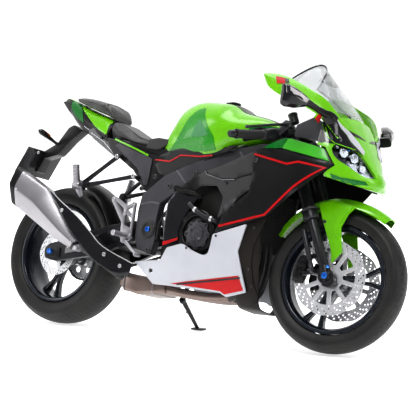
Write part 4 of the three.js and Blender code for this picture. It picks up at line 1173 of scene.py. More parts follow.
def combine(body, tools, operation="DIFFERENCE"):
    """Cuts, joins or meets closed meshes exactly, and returns the result as a bmesh."""
    base = solid_object("base", body)
    helpers = [solid_object("tool", tool) for tool in tools]
    for helper in helpers:
        modifier = base.modifiers.new("cut", "BOOLEAN")
        modifier.operation = operation
        modifier.solver = "EXACT"
        modifier.object = helper
    bpy.context.view_layer.update()
    result = base.evaluated_get(bpy.context.evaluated_depsgraph_get()).to_mesh()
    bm = new()
    bm.from_mesh(result)
    for obj in (base, *helpers):
        bpy.data.objects.remove(obj)
    return bm


SCREEN_CUT = [(600, 860), (700, 930), (747, 962), (747, 1100), (600, 1100)]
FLANK_CUT = [(560, 500), (560, 836), (640, 828), (722, 808), (766, 738), (696, 668), (640, 600)]
CHIN_CUT = [(600, 560), (600, 708), (700, 698), (790, 677), (874, 664), (874, 560)]


def lens_cutter(side, grow=0.0):
    """One headlight's outline as a block through the nose, grown about its middle."""
    outline = [(side * (112 + (y - 112) * (1 + grow)), 772 + (z - 772) * (1 + grow)) for y,
        z in spline(LENS_EDGE, 3, closed=True)]
    return front_slab(outline, 690, 900)


def both_lenses(grow):
    return combine(lens_cutter(-1, grow), [lens_cutter(1, grow)], "UNION")


tools = [nose_solid(12), plate(new(), SCREEN_CUT, -175, 175), plate(new(), CHIN_CUT, -300, 300)]
tools += [lens_cutter(side) for side in (-1, 1)]
tools += [plate(new(), FLANK_CUT, min(100 * side, 400 * side), max(100 * side, 400 * side))
    for side in (-1, 1)]
nose_shell = combine(nose_solid(), tools)
nose_tree = tree_of(nose_shell)
piece("nose_shell", nose_shell, LIME, "lime_plastic", angle=24, replaces=["nose_cowl"])


def wing(side):
    """The raised flank beside the screen, ending in a point behind the mirror."""
    edges = [((764, 95, 902), (762, 165, 838)), ((742, 150, 936), (738, 192, 868)), ((690, 190, 1002),
        (684, 222, 928)), ((610, 206, 1048), (596, 238, 976)), ((520, 220, 1090), (500, 250, 1012)),
        ((462, 232, 1104), (440, 254, 1048)), ((412, 246, 1104), (410, 249, 1092))]
    rows = []
    for station in spline([(*top, *low) for top, low in edges], 4):
        row = []
        for k in range(7):
            t = k / 6
            bulge = 7 * math.sin(math.pi * t)
            spot = [a + (b - a) * t for a, b in zip(station[:3], station[3:])]
            row.append(Vector(spot) + Vector((0, bulge, 0)))
        rows.append([Vector((p.x, side * p.y, p.z)) for p in row])
    bm = rings(new(), rows, closed=False)
    return thicken(bm, (0, -side * 6, 0))


for end, name in SIDES:
    piece("cowl_wing_" + name, wing(end), LIME, "lime_plastic", bevel=1.5)


def cowl_tree():
    """The nose skin and both wings together, for the stripes that cross from one to the other."""
    both = nose_solid()
    for end in (-1, 1):
        absorb(both, wing(end))
    return tree_of(both)


cowl_skin = cowl_tree()
WHITE_STRIPE = [(736, 926), (751, 894), (779, 850), (806, 818), (818, 802), (812, 820), (790, 854),
    (764, 888)]
BLACK_DUCT = [(686, 918), (736, 926), (751, 892), (779, 848), (806, 816), (816, 802), (806, 810),
    (751, 824), (722, 826), (706, 870)]
WING_MARK = [(462, 1092), (500, 1086), (514, 1058), (478, 1060)]
film("wing_mark_{}", WING_MARK, cowl_skin, (2, 4, 8), RED, "gloss_black")
film("wing_mark_edge_{}", [(500, 1086), (516, 1083), (526, 1064), (512, 1066)], cowl_skin, (2, 4, 8),
    GLOSS, "gloss_black")
GREY_DUCT = [(684, 912), (704, 868), (720, 828), (700, 824), (672, 836), (668, 880)]
LIME_LINE = [(704, 890), (722, 850), (748, 828), (800, 816)]
film("nose_stripe_{}", WHITE_STRIPE, cowl_skin, (3, 5, 6), WHITE, "white_plastic")
film("nose_duct_{}", BLACK_DUCT, cowl_skin, (1.8, 4, 6), GLOSS, "gloss_black")
film("nose_side_{}", GREY_DUCT, cowl_skin, (1.8, 4, 6), DARK_METAL, "gloss_black")
film("nose_thin_line_{}", ribbon(LIME_LINE, 3.5), cowl_skin, (3, 4, 6), LIME, "lime_plastic")
# painted shade: the dark reflection on the nose's lower cheek is laid on as a deep green film
CHEEK_PAINTED_SHADE = [(752, 704), (790, 694), (850, 694), (858, 682), (800, 670), (762, 676)]
film("cheek_painted_shade_{}", CHEEK_PAINTED_SHADE, nose_tree, (2, 4, 6), DEEP_GREEN, "lime_plastic")
ram = new()
for end in (-1, 1):
    outline = [(742, 906), (777, 886), (788, 872), (772, 878), (756, 896)]
    wrap(ram, outline, nose_tree, side=end, lift=2, wall=4, size=6)
piece("ram_slots", ram, GLOSS, "gloss_black")

# headlights: a clear cover over a bright housing with bowls, facets and bulbs
lamp_cover = combine(nose_solid(0.5), [both_lenses(-0.01)], "INTERSECT")
lamp_cover = combine(lamp_cover, [nose_solid(5)])
piece("headlight_cover", lamp_cover, LENS, "lamp_lens", angle=24, replaces=["headlight_unit"])
lamp_housing = combine(nose_solid(24), [both_lenses(0.04)], "INTERSECT")
piece("headlight_housing", lamp_housing, CHROME, "lamp_lens", angle=10)


def nose_point(y, z):
    """Where the nose skin is on the front view's point (y, z)."""
    hit = nose_skin.ray_cast(Vector((1200, y, z)), Vector((-1, 0, 0)))[0]
    return hit if hit else Vector((800, y, z))


nose_skin = tree_of(nose_solid())


def lamp_bowl(bm, y, z, radius, side):
    """A facetted bowl, set behind the lamp glass; its bulb is made on its own."""
    front = nose_point(y, z) + Vector((-16, 0, 0))
    axis = Vector((0.86, -0.42 if side < 0 else 0.42, 0.1)).normalized()
    profile = [(0, radius), (0.15, radius * 0.96), (0.5, radius * 0.72), (0.8, radius * 0.42),
        (1, radius * 0.16)]
    return turned(bm, front, front - axis * radius * 0.9, profile, 14)


bowls = new()
bulbs = new()
facets = new()
for end in (-1, 1):
    for y, z, radius in ((146, 798, 20), (106, 782, 19), (76, 744, 15)):
        lamp_bowl(bowls, end * y, z, radius, end)
        front = nose_point(end * y, z) + Vector((-22, 0, 0))
        turned(bulbs, front, front + Vector((5, end * -2, 0)), [(0, radius * 0.42), (0.6, radius * 0.4),
            (1, radius * 0.2)], 16)
    for k in range(5):
        y, z = 168 - 22 * k, 816 - 11 * k + 9 * math.sin(2.4 * k)
        spot = nose_point(end * y, z) + Vector((-15, 0, 0))
        turned(facets, spot, spot + Vector((5, end * 3, 4)), [(0, 10), (0.5, 8), (1, 2)], 5)
piece("lamp_bowls", bowls, CHROME, "lamp_lens", angle=10)
piece("lamp_facets", facets, CHROME, "lamp_lens", angle=10)
piece("lamp_bulbs", bulbs, MIRROR_GLASS, "lamp_lens")
# painted glints: small anodised blue cones behind the lamp glass stand for blue glints in the headlights
glints = new()
for end in (-1, 1):
    spot = nose_point(end * 126, 812) + Vector((-14, 0, 0))
    turned(glints, spot, spot + Vector((5, 0, 2)), [(0, 7), (1, 2)], 8)
piece("lamp_painted_glints", glints, BLUE, "lamp_lens")


# ---- screen with a dark rim, and the instrument hood under it ----
def screen_rows(grow=0.0):
    """The screen's surface, from its base up to its rounded top."""
    rows = []
    for i in range(17):
        rise = i / 16
        row = []
        for j in range(21):
            side = -1 + j / 10
            half = 172 + (118 - 172) * rise ** 1.5
            fall = 120 + (84 - 120) * rise
            x = 738 + (532 - 738) * rise - fall * side * side
            z = 966 + (1193 - 966) * rise ** 0.95 + (14 + (-78 - 14) * rise) * side * side
            round_off = max(0, rise - 0.86) / 0.14
            half *= 1 - 0.16 * round_off ** 2 * abs(side)
            row.append(Vector((x + grow, half * side, z + grow)))
        rows.append(row)
    return rows


glass = rings(new(), screen_rows(), closed=False)
thicken(glass, (-3, 0, -2))
piece("screen", glass, SCREEN, "clear_screen", bevel=0.8, segments=1, replaces=["windscreen"])
outer = screen_rows(grow=0.8)
edge_line = [row[0] for row in outer] + outer[-1][1:-1] + [row[-1] for row in outer[::-1]]
piece("screen_rim", tube(new(), edge_line, 4.4, 8), GLOSS, "gloss_black")


def hood():
    """The cowl over the instruments."""
    rows = []
    for x, half, top in ((600, 84, 905), (626, 88, 950), (660, 82, 972), (700, 66, 966), (722, 40, 944)):
        rows.append(whole(x, spline([(0, top), (half * 0.7, top - 8), (half, top - 32), (half * 0.9, 880),
            (0, 880)], 3)))
    return rings(new(), rows)


piece("instrument_hood", hood(), MATT, "black_plastic")
display = plate(new(), [(0, 0), (52, 0), (52, 3), (0, 3)], -46, 46)
display.transform(Matrix.Translation((584, 0, 900)) @ Matrix.Rotation(math.radians(-58), 4, "Y"))
piece("instrument_display", display, GLOSS, "gloss_black", bevel=1)
# dark cheeks fill the cowl behind the lamps, under the wings
panel("cowl_liner_{}", rounded([(560, 850), (640, 842), (726, 818), (744, 850), (700, 905), (640, 935),
    (560, 900)], 10), lambda x, z: 196 - 0.12 * (z - 840), 5, FRAME_METAL, "frame_metal", bevel=1)
piece("beak_underside", rings(new(), [whole(x, [(0, low + 9), (half, low + 11), (half, low + 5),
    (0, low + 3)]) for x, half, low in ((740, 136, 690), (790, 112, 678), (830, 86, 668), (860, 50, 665),
    (879, 15, 682))]), FRAME_METAL, "frame_metal", bevel=1)


# ---- mirrors ----
MIRROR_IN = Vector((690, -306, 962))
MIRROR_ALONG = Vector((-0.5, -0.86, 0.1)).normalized()
MIRROR_OUT = Vector((0.86, -0.5, 0)).normalized()


def mirror_point(along, out, up):
    return MIRROR_IN + MIRROR_ALONG * along + MIRROR_OUT * out + Vector((0, 0, up))


def mirror_stalk():
    bm = beam(new(), [(738, -232, 930), (724, -258, 936), (704, -290, 950), (686, -318, 962)], [(44, 30),
        (30, 24), (24, 20), (30, 24)], side=(1, 0, 0), corner=0.4)
    return beam(bm, [(742, -214, 912), (738, -228, 924), (732, -244, 936)],
        [(56, 44), (50, 36), (30, 22)], side=(1, 0, 0), corner=0.35)


def mirror_housing():
    """A five-sided shell: a sharp inner end, a tall flat outer end and a chamfered front."""
    stations = [(0, 10, -8, 10), (26, 26, -22, 26), (66, 40, -38, 36), (104, 48, -44, 34),
        (124, 46, -40, 24), (130, 38, -32, 12)]
    rows = []
    for along, top, low, deep in stations:
        rows.append([mirror_point(along, out * deep, low + (top - low) * up) for out, up in ((-0.7, 0.04),
            (-0.7, 0.96), (0.1, 1), (0.72, 0.86), (1, 0.5), (0.72, 0.14), (0.1, 0))])
    return rings(new(), rows)


def mirror_glass():
    """The mirror pane faces back to the rider."""
    outline = rounded([(14, 12), (60, 32), (112, 40), (120, -26), (70, -30), (20, -12)], 5, 3)
    return rings(new(), [[mirror_point(a, -0.7 * 26 - h, b) for a, b in outline] for h in (0, 3)])


def mirror_window():
    """The silver panel let into the front of the shell."""
    outline = [(20, 8), (60, 18), (108, 34), (106, 2), (60, -6), (30, -8)]
    rows = []
    for h in (-5, 2.5):
        row = []
        for a, b in outline:
            deep = 10 + 28 * math.sin(math.pi * a / 140)
            row.append(mirror_point(a, deep * (1 - 0.006 * abs(b - 4)) + h, b))
        rows.append(row)
    return rings(new(), rows)


pair("mirror_{}_shell", mirror_housing, GLOSS, "gloss_black", "mirror_{}", bevel=4, segments=3, angle=12,
    replaces=["mirror_{}"])
pair("mirror_{}_stalk", mirror_stalk, SATIN, "gloss_black", "mirror_{}", bevel=0.8)
pair("mirror_{}_window", mirror_window, SILVER_PAINT, "silver_metal", "mirror_{}", bevel=1)
accent = [(690, 940), (702, 932), (690, 900), (672, 918)]
panel("mirror_{}_accent", accent, 232, 5, RED, "gloss_black")
panel("mirror_{}_edge", [(682, 944), (690, 940), (672, 918), (664, 922)], 232, 5, LIME, "lime_plastic")
pair("mirror_{}_glass", mirror_glass, MIRROR_GLASS, "silver_metal", "mirror_{}")


# ---- frame ----
SPAR = [(372, 840), (340, 838), (240, 814), (60, 750), (-110, 680), (-222, 592), (-233, 520), (-230, 400),
    (-210, 352), (-134, 330), (-120, 400), (-128, 480), (-118, 560), (52, 668), (200, 708), (330, 752),
    (372, 767)]
PIVOT = (-164, 441)


def frame_half(x, z=0):
    if x < 0:
        return 150
    if x < 150:
        return 150 - 22 * x / 150
    return 128 - 43 * (x - 150) / 235


def steer_axis(along):
    return (STEER_X - along * math.sin(RAKE), 0, along * math.cos(RAKE))


def spar():
    return skin(new(), rounded(SPAR, 12, 3), frame_half, 40, size=16)


pair("frame_spar_{}", spar, FRAME_METAL, "frame_metal", bevel=6, segments=3)
frame_core = rod(new(), steer_axis(845), steer_axis(958), 31, None, 28)
plate(frame_core, rounded([(358, 780), (424, 780), (424, 832), (358, 832)], 8), -62, 62)
rod(frame_core, (-165, -130, 600), (-165, 130, 600), 16, None, 20)
tube(frame_core, [(-165, 132, 345), (-128, 118, 288), (-92, 104, 232), (-92, 76, 200)], 10.5, 14)
piece("frame_core", frame_core, FRAME_METAL, "frame_metal", bevel=1.5, replaces=["frame"])


def spar_detail():
    """Weld beads where the cast ends meet the pressed middle, on the outer face."""
    bm = new()
    for line in ([(243, 796), (255, 776), (252, 742), (240, 724)], [(3, 652), (-22, 676), (-48, 702)],
            [(-126, 556), (-170, 560), (-226, 548)]):
        path = [(x, -frame_half(x) - 0.5, z) for x, z in spline(line, 6)]
        for i, p in enumerate(path):
            turned(bm, Vector(p) + Vector((0, 1.5, 0)), Vector(p) - Vector((0, 2.2, 0)),
                [(0, 4.6), (0.6, 4), (1, 1.5)], 10)
    return bm


pair("frame_weld_{}", spar_detail, FRAME_METAL, "frame_metal")


def spar_bolts():
    bm = new()
    for x, z in ((-165, 673), (-230, 618), (-78, 634), (50, 694), (-148, 352), (330, 780)):
        bolt(bm, (x, -frame_half(x) - 1, z), (0, -1, 0), 10, 6)
    return bm


pair("frame_bolts_{}", spar_bolts, DARK_METAL, "dark_metal")


def pivot_ring():
    return turned(new(), (PIVOT[0], -149, PIVOT[1]), (PIVOT[0], -157, PIVOT[1]), [(0, 38), (0.8, 38),
        (1, 35), (1, 26), (0.6, 25)], 40)


def pivot_bolt():
    return bolt(new(), (PIVOT[0], -152, PIVOT[1]), (0, -1, 0), 12, 7)


pair("pivot_ring_{}", pivot_ring, DARK_METAL, "dark_metal", bevel=0.8)
pair("pivot_bolt_{}", pivot_bolt, BLUE, "silver_metal")

# ---- engine ----
CLUTCH = (117, 431)
CLUTCH_RING = (102, 442)
GENERATOR = (60, 430)
CASES = [(-100, 262), (230, 250), (298, 330), (290, 480), (200, 560), (-60, 560), (-106, 480)]


def engine():
    """Crankcase and cylinder block."""
    bm = plate(new(), rounded(CASES, 16, 3), -95, 95)
    return plate(bm, rounded([(70, 540), (285, 470), (322, 560), (305, 690), (150, 660)], 12, 3), -92, 92)


def engine_ribs():
    """Cylinder fins and case ribs on both sides."""
    bm = new()
    for end in (-1, 1):
        for k in range(7):
            z = 560 + 15 * k
            x = 150 + 6 * k
            plate(bm, rounded([(x - 60, z - 22), (x + 128, z - 62), (x + 130, z - 56), (x - 58, z - 16)],
                1.5, 2), end * 101 - 5, end * 101 + 5)
        for x in (-70, -40, 208, 240, 268):
            plate(bm, [(x, 292), (x + 5, 292), (x + 5, 540), (x, 540)], end * 98 - 4, end * 98 + 4)
    return bm


piece("engine_cases", engine(), DARK_METAL, "frame_metal", bevel=3, segments=2, replaces=["engine_block"])
piece("engine_ribs", engine_ribs(), DARK_METAL, "frame_metal", bevel=0.8)
piece("engine_cradle", plate(new(), rounded([(-30, 340), (190, 330), (205, 500), (-40, 520)], 16, 3),
    -152, -95), SATIN, "dark_metal", bevel=4, segments=2)


def clutch():
    """The clutch cover's turned body: a flat boss, a groove and a stepped rim."""
    profile = [(0, -181), (14, -181), (17, -178), (30, -179), (33, -177), (36, -171), (50, -170),
        (54, -166), (55, -150), (60, -150), (61, -130), (0, -130)]
    return lathe(new(), *CLUTCH, profile, 60)


def clutch_petals():
    """The cover's flat plate with a scalloped rim."""
    outline = []
    for i in range(80):
        angle = math.tau * i / 80
        reach = 60 + 4.5 * math.tanh(3 * math.cos(8 * angle))
        outline.append(polar(*CLUTCH, reach, angle))
    return plate(new(), outline, -170, -160)


def clutch_marks():
    """Eight rim screws and three short ribs on the boss."""
    bm = new()
    for i in range(8):
        angle = math.tau * i / 8
        x, z = polar(*CLUTCH, 57, angle)
        bolt(bm, (x, -170, z), (0, -1, 0), 5, 5)
    for i in range(3):
        angle = math.tau * i / 3 + 0.5
        x, z = polar(*CLUTCH, 26, angle)
        beam(bm, [(x, -181, z), (x + 14 * math.cos(angle), -177, z + 14 * math.sin(angle))],
            [(7, 5), (5, 4)], corner=0.3, smooth=2)
    return bm


piece("clutch_housing", clutch(), FRAME_METAL, "dark_metal", bevel=0.8, replaces=["clutch_cover"])
piece("clutch_rim", clutch_petals(), FRAME_METAL, "dark_metal", bevel=1.5, segments=2)
piece("clutch_screws", clutch_marks(), DARK_METAL, "dark_metal")
piece("clutch_ring", lathe(new(), *CLUTCH_RING, [(66, -148), (66, -160), (70, -164), (92, -164),
    (97, -160), (97, -148)], 60), SATIN, "dark_metal", bevel=1)
generator = lathe(new(), *GENERATOR, [(0, 142), (44, 142), (49, 139), (50, 130), (62, 129), (66, 125),
    (66, 98), (0, 98)], 60)
for i in range(8):
    angle = math.tau * i / 8
    x, z = polar(*GENERATOR, 57, angle)
    bolt(generator, (x, 129, z), (0, 1, 0), 5, 4)
piece("generator_housing", generator, DARK_METAL, "dark_metal", replaces=["generator_cover"])
# the carrier plate behind the clutch closes the engine's side, with the mid cover ahead of the shock
SIDE_COVER = [(-96, 300), (60, 300), (120, 330), (232, 345), (262, 470), (330, 592), (300, 660),
    (60, 600), (-50, 560), (-96, 500)]
carrier = new()
for end in (-1, 1):
    plate(carrier, rounded(SIDE_COVER, 14, 3), end * 118 - 6, end * 118 + 6,
        holes=[circle(*CLUTCH, 58, 36)] if end < 0 else [circle(*GENERATOR, 68, 36)])
piece("engine_side_plates", carrier, MATT, "dark_metal", bevel=2)

# ---- hoses and pipes on the engine's sides ----
hose = new()
path = spline([(-44, -156, 628), (-10, -164, 616), (30, -166, 612), (70, -160, 604), (90, -142, 590)], 8)
tube(hose, path, 9.5, 14)
for i in range(2, len(path) - 2, 2):
    a, b = Vector(path[i]), Vector(path[i + 1])
    rod(hose, a - (b - a) * 0.25, a + (b - a) * 0.3, 12.5, None, 14)
piece("ribbed_hose", hose, MATT, "black_plastic")
piece("water_pipe", tube(new(), spline([(58, -170, 560), (92, -176, 536), (140, -178, 512),
    (196, -172, 494), (214, -150, 486)], 6), 10, 16), BLACK_METAL, "dark_metal")
clamps = new()
for a, b in (((92, -176, 536), (104, -177, 530)), ((178, -175, 500), (190, -173, 496))):
    rod(clamps, a, b, 13, None, 18)
piece("pipe_clamps", clamps, SILVER, "dark_metal")
for end, name in SIDES:
    piece("side_cable_" + name, tube(new(), spline([(150, end * 118, 700), (40, end * 150, 640),
        (-40, end * 156, 560), (-96, end * 156, 480), (-110, end * 150, 400)], 8), 5, 10), MATT,
        "black_plastic")


# ---- exhaust ----
HEADER_ROUTE = [(316, 1, 0, 468), (338, 1, 0, 400), (336, 1, 0, 300), (312, 1, 0, 216),
    (262, 0.9, 0, 186), (150, 0.8, 0, 178), (20, 0.62, -12, 184), (-96, 0.5, -24, 196)]


def headers(route):
    """Four header pipes: each keeps its place beside the others while they draw together."""
    bm = new()
    for y in (-78, -32, 14, 52):
        tube(bm, spline([(x, y * squeeze + shift, z) for x, squeeze, shift, z in route], 6), 19, 20)
    return bm


piece("exhaust_headers", headers(HEADER_ROUTE[:5]), DARK_METAL, "titanium")
piece("exhaust_collector", headers(HEADER_ROUTE[4:]), TITANIUM, "titanium")


def belly_box():
    """The exhaust chamber under the engine."""
    rows = []
    for x, low, high, left, right in ((-76, 176, 216, 30, -88), (-110, 168, 232, 44, -128),
            (-190, 158, 242, 50, -140), (-262, 172, 246, 48, -140), (-292, 190, 238, 40, -132)):
        rows.append([(x, y, z) for y, z in rounded([(left, low), (left, high), (right, high),
            (right, low)], 14, 4)])
    return rings(new(), rows)


piece("exhaust_chamber", belly_box(), TITANIUM, "titanium", bevel=2, replaces=["exhaust"])
seams = new()
for x, low, high, left, right in ((-112, 167, 233, 45, -129), (-262, 171, 247, 49, -141)):
    ring = [(x, y, z) for y, z in rounded([(left, low), (left, high), (right, high), (right, low)], 14,
        4)]
    tube(seams, ring + ring[:1], 2.4, 8)
piece("exhaust_seams", seams, ALLOY, "titanium")
piece("exhaust_link", tube(new(), spline([(-262, -110, 220), (-320, -132, 250), (-400, -162, 296),
    (-440, -168, 318), (-490, -174, 342)], 6), 24, 28), DARK_METAL, "titanium")
bands = rod(new(), (-392, -159, 291), (-406, -163, 299), 28, None, 32)
rod(bands, (-300, -124, 239), (-312, -129, 246), 27, None, 32)
piece("exhaust_bands", bands, DARK_METAL, "titanium", bevel=1)

MUFFLER = [((-478, 345), (-532, 318), -172, 34), ((-566, 436), (-640, 362), -185, 49), ((-713, 588),
    (-790, 452), -212, 62), ((-889, 679), (-889, 509), -232, 62)]


def muffler_ring(top, low, y, half, grow=0.0):
    """The silencer's six-sided section, with softened corners."""
    middle = [(top[0] + low[0]) / 2, (top[1] + low[1]) / 2]
    reach = half + grow
    a = Vector((top[0], 0, top[1]))
    b = Vector((low[0], 0, low[1]))
    axis = (a - b).normalized() * grow
    m = Vector((middle[0], 0, middle[1]))
    share = 0.45
    corners = [a + axis + Vector((0, y + reach * share, 0)), a + axis + Vector((0, y - reach * share, 0)),
        m + Vector((0, y - reach, 0)), b - axis + Vector((0, y - reach * share, 0)), b - axis
        + Vector((0, y + reach * share, 0)), m + Vector((0, y + reach, 0))]
    made = []
    for i, p in enumerate(corners):
        before, after = corners[i - 1], corners[(i + 1) % 6]
        cut = 0.13
        start, end = p.lerp(before, cut), p.lerp(after, cut)
        for t in (0, 0.5, 1):
            made.append(start.lerp(p, t).lerp(p.lerp(end, t), t))
    return made


def at_station(share):
    """The silencer's section at a share of its length."""
    place = share * 3
    i = min(2, int(place))
    t = place - i
    (a, b, y0, h0), (c, d, y1, h1) = MUFFLER[i], MUFFLER[i + 1]
    mix = lambda p, q: (p[0] + (q[0] - p[0]) * t, p[1] + (q[1] - p[1]) * t)
    return mix(a, c), mix(b, d), y0 + (y1 - y0) * t, h0 + (h1 - h0) * t


body = rings(new(), [muffler_ring(*at_station(k / 12)) for k in range(13)])
piece("muffler_body", body, ALLOY, "titanium", bevel=1.6, segments=2, angle=20, replaces=["muffler"])
trim = new()
for low, high, grow in ((0.93, 1.0, 1.2), (0.05, 0.09, 1.2)):
    rings(trim, [muffler_ring(*at_station(low + (high - low) * k / 3), grow) for k in range(4)])
piece("muffler_end_cap", trim, SATIN, "titanium", bevel=1.2, angle=20)
outlet = turned(new(), (-884, -232, 600), (-897, -232, 601), [(0, 30), (1, 30), (1, 24), (0.2, 23)], 30)
turned(outlet, (-884, -232, 548), (-895, -232, 548), [(0, 20), (1, 20), (1, 15), (0.2, 14)], 26)
piece("muffler_outlets", outlet, BLACK_METAL, "titanium", bevel=0.6)
rivets = new()
for share in (0.9, 0.12):
    ring = muffler_ring(*at_station(share), 0.2)
    for i in (4, 7, 10, 13):
        p = ring[i]
        centre = sum(ring, Vector()) / len(ring)
        bolt(rivets, p, (p - centre).normalized(), 4.5, 2.5, False)
piece("muffler_rivets", rivets, SILVER, "titanium")

SHIELD = [((-681, 581), (-668, 556), -240), ((-600, 530), (-556, 430), -246),
    ((-505, 468), (-460, 340), -230), ((-430, 405), (-380, 276), -216), ((-356, 346), (-292, 238), -204),
    ((-193, 284), (-205, 224), -186)]


def shield():
    """The heat shield: a creased strip from the chamber up along the silencer."""
    rows = []
    for s in spline([(*a, *b, y) for a, b, y in SHIELD], 4):
        row = []
        for k in range(9):
            t = k / 8
            crease = 6 * (1 - abs(2 * t - 1) ** 1.6)
            row.append(Vector((s[0] + (s[2] - s[0]) * t, s[4] - crease, s[1] + (s[3] - s[1]) * t)))
        rows.append(row)
    return thicken(rings(new(), rows, closed=False), (0, 5, 0))


piece("heat_shield", shield(), GLOSS, "black_metal", bevel=1.2, replaces=["muffler_shield"])
shield_bolts = new()
for x, y, z in ((-585, -251, 490), (-336, -214, 312), (-250, -200, 268)):
    bolt(shield_bolts, (x, y, z), (0, -1, 0), 9, 5)
piece("heat_shield_bolts", shield_bolts, SILVER, "silver_metal")
shield_edge = new()
line = [(s[0], s[4] - 1.5, s[1]) for s in spline([(*a, *b, y) for a, b, y in SHIELD], 4)]
tube(shield_edge, line, 2.2, 8)
piece("heat_shield_edge", shield_edge, SILVER, "silver_metal")


# ---- swingarm ----
ARM = [(-248, 480), (-252, 400), (-420, 322), (-700, 272), (-762, 285), (-768, 330), (-740, 352),
    (-560, 400), (-400, 452)]


def arm(low, high):
    """A box-section arm; the pressed panel down its outer face is made by arm_panel."""
    return plate(new(), rounded(ARM, 14, 4), low, high)


def arm_panel(y):
    return plate(new(), rounded([(-290, 452), (-292, 404), (-430, 344), (-640, 304), (-640, 344),
        (-540, 376), (-400, 424)], 10, 4), y - 2, y + 2)


piece("swingarm_right", arm(-130, -102), BLACK_METAL, "black_metal", "swingarm", bevel=5, segments=3,
    replaces=["swingarm"])
piece("swingarm_left", arm(122, 150), BLACK_METAL, "black_metal", "swingarm", bevel=5, segments=3)
piece("swingarm_panel_right", arm_panel(-130), GLOSS, "black_metal", "swingarm", bevel=1.2)
piece("swingarm_panel_left", arm_panel(150), GLOSS, "black_metal", "swingarm", bevel=1.2)
bridge = plate(new(), rounded([(-385, 352), (-300, 362), (-300, 428), (-385, 424)], 10, 3), -128, 148)
for low, high in ((-117, -76), (58, 97)):
    plate(bridge, rounded([(-320, 372), (-170, 415), (-140, 445), (-163, 475), (-320, 424)], 8, 3), low,
        high)
rod(bridge, (-164, -117, 441), (-164, 97, 441), 26, None, 30)
piece("swingarm_bridge", bridge, BLACK_METAL, "black_metal", "swingarm", bevel=2.5)
piece("rear_axle", rod(new(), (REAR["x"], -140, REAR["radius"]), (REAR["x"], 158, REAR["radius"]), 11,
    None, 24), STEEL, "silver_metal", "swingarm", bevel=0.8)


def axle_block(side):
    """The axle slider, its end plate and the chain adjuster bolt."""
    y = -130 if side < 0 else 150
    bm = plate(new(), rounded([(-752, 292), (-668, 290), (-668, 336), (-752, 338)], 7, 3),
        min(y, y + side * 5), max(y, y + side * 5))
    rod(bm, (-770, y - side * 12, 312), (-745, y - side * 12, 312), 6, None, 12)
    for i in range(6):
        x = -740 + 11 * i
        plate(bm, [(x, 331), (x + 2, 331), (x + 2, 337), (x, 337)], min(y, y + side * 6),
            max(y, y + side * 6))
    return bm


for end, name in SIDES:
    piece("axle_block_" + name, axle_block(end), BLACK_METAL, "black_metal", "swingarm", bevel=0.8)
    y = -135 if end < 0 else 155
    piece("rear_axle_nut_" + name, bolt(new(), (REAR["x"], y, REAR["radius"]), (0, end, 0), 13, 11), BLUE,
        "silver_metal", "swingarm")
piece("rear_caliper", beam(new(), [(-560, -92, 356), (-592, -92, 372), (-628, -92, 378)],
    [(40, 34), (46, 46), (40, 34)], corner=0.35), BLACK_METAL, "black_metal", "swingarm", bevel=1.5)
hoses = tube(new(), spline([(-600, -100, 394), (-560, -112, 410), (-470, -120, 430), (-380, -126, 446),
    (-290, -126, 466)], 8), 4, 10)
piece("rear_brake_hose", hoses, MATT, "black_plastic", "swingarm")


def hugger():
    """The rear mudguard: a crowned arc over the tyre that narrows at its top end."""
    rows = []
    for k in range(19):
        turn = 16 + 57 * k / 18
        half = 92 - 22 * max(0, (turn - 60) / 13) ** 2
        reach = 336 + 20 * k / 18
        row = []
        for j in range(17):
            side = -1 + j / 8
            crown = 26 * abs(side) ** 2.6
            angle = math.radians(turn)
            row.append(Vector((REAR["x"] + (reach - crown) * math.cos(angle), side * half, REAR["radius"]
                + (reach - crown) * math.sin(angle))))
        rows.append(row)
    bm = rings(new(), rows, closed=False)
    bmesh.ops.recalc_face_normals(bm, faces=bm.faces)
    centre = Vector((REAR["x"], 0, REAR["radius"]))
    return thicken(bm, lambda v: (centre - Vector((v.co.x, 0, v.co.z))).normalized() * 5)


piece("rear_mudguard", hugger(), SATIN, "black_plastic", "swingarm", bevel=1.2, replaces=["rear_hugger"])
piece("chain_guard", plate(new(), rounded([(-290, 530), (-350, 512), (-520, 452), (-640, 398),
    (-636, 386), (-515, 420), (-352, 470), (-286, 486)], 8, 3), 92, 96), SATIN, "black_plastic",
    "swingarm", bevel=1)


# ---- shock: damper body, rod and a coil spring ----
def shock_parts():
    low, high = Vector((-307, 0, 466)), Vector((-245, 0, 612))
    axis = (high - low).normalized()
    damper = turned(new(), low, high, [(0, 14), (0.05, 16), (0.4, 16), (0.42, 10), (0.6, 10), (0.62, 22),
        (0.95, 22), (1, 18)], 28)
    spring = new()
    u = axis.orthogonal().normalized()
    w = axis.cross(u)
    path = []
    for i in range(7 * 20 + 1):
        t = i / 140
        angle = math.tau * 7 * t
        path.append(low.lerp(high, 0.1 + 0.78 * t) + (u * math.cos(angle) + w * math.sin(angle)) * 25)
    tube(spring, path, 4.6, 10)
    return damper, spring


shock_body, shock_spring = shock_parts()
piece("shock_damper", shock_body, BLACK_METAL, "silver_metal", bevel=0.8, replaces=["rear_shock"])
piece("shock_spring", shock_spring, DARK_BLUE, "silver_metal")


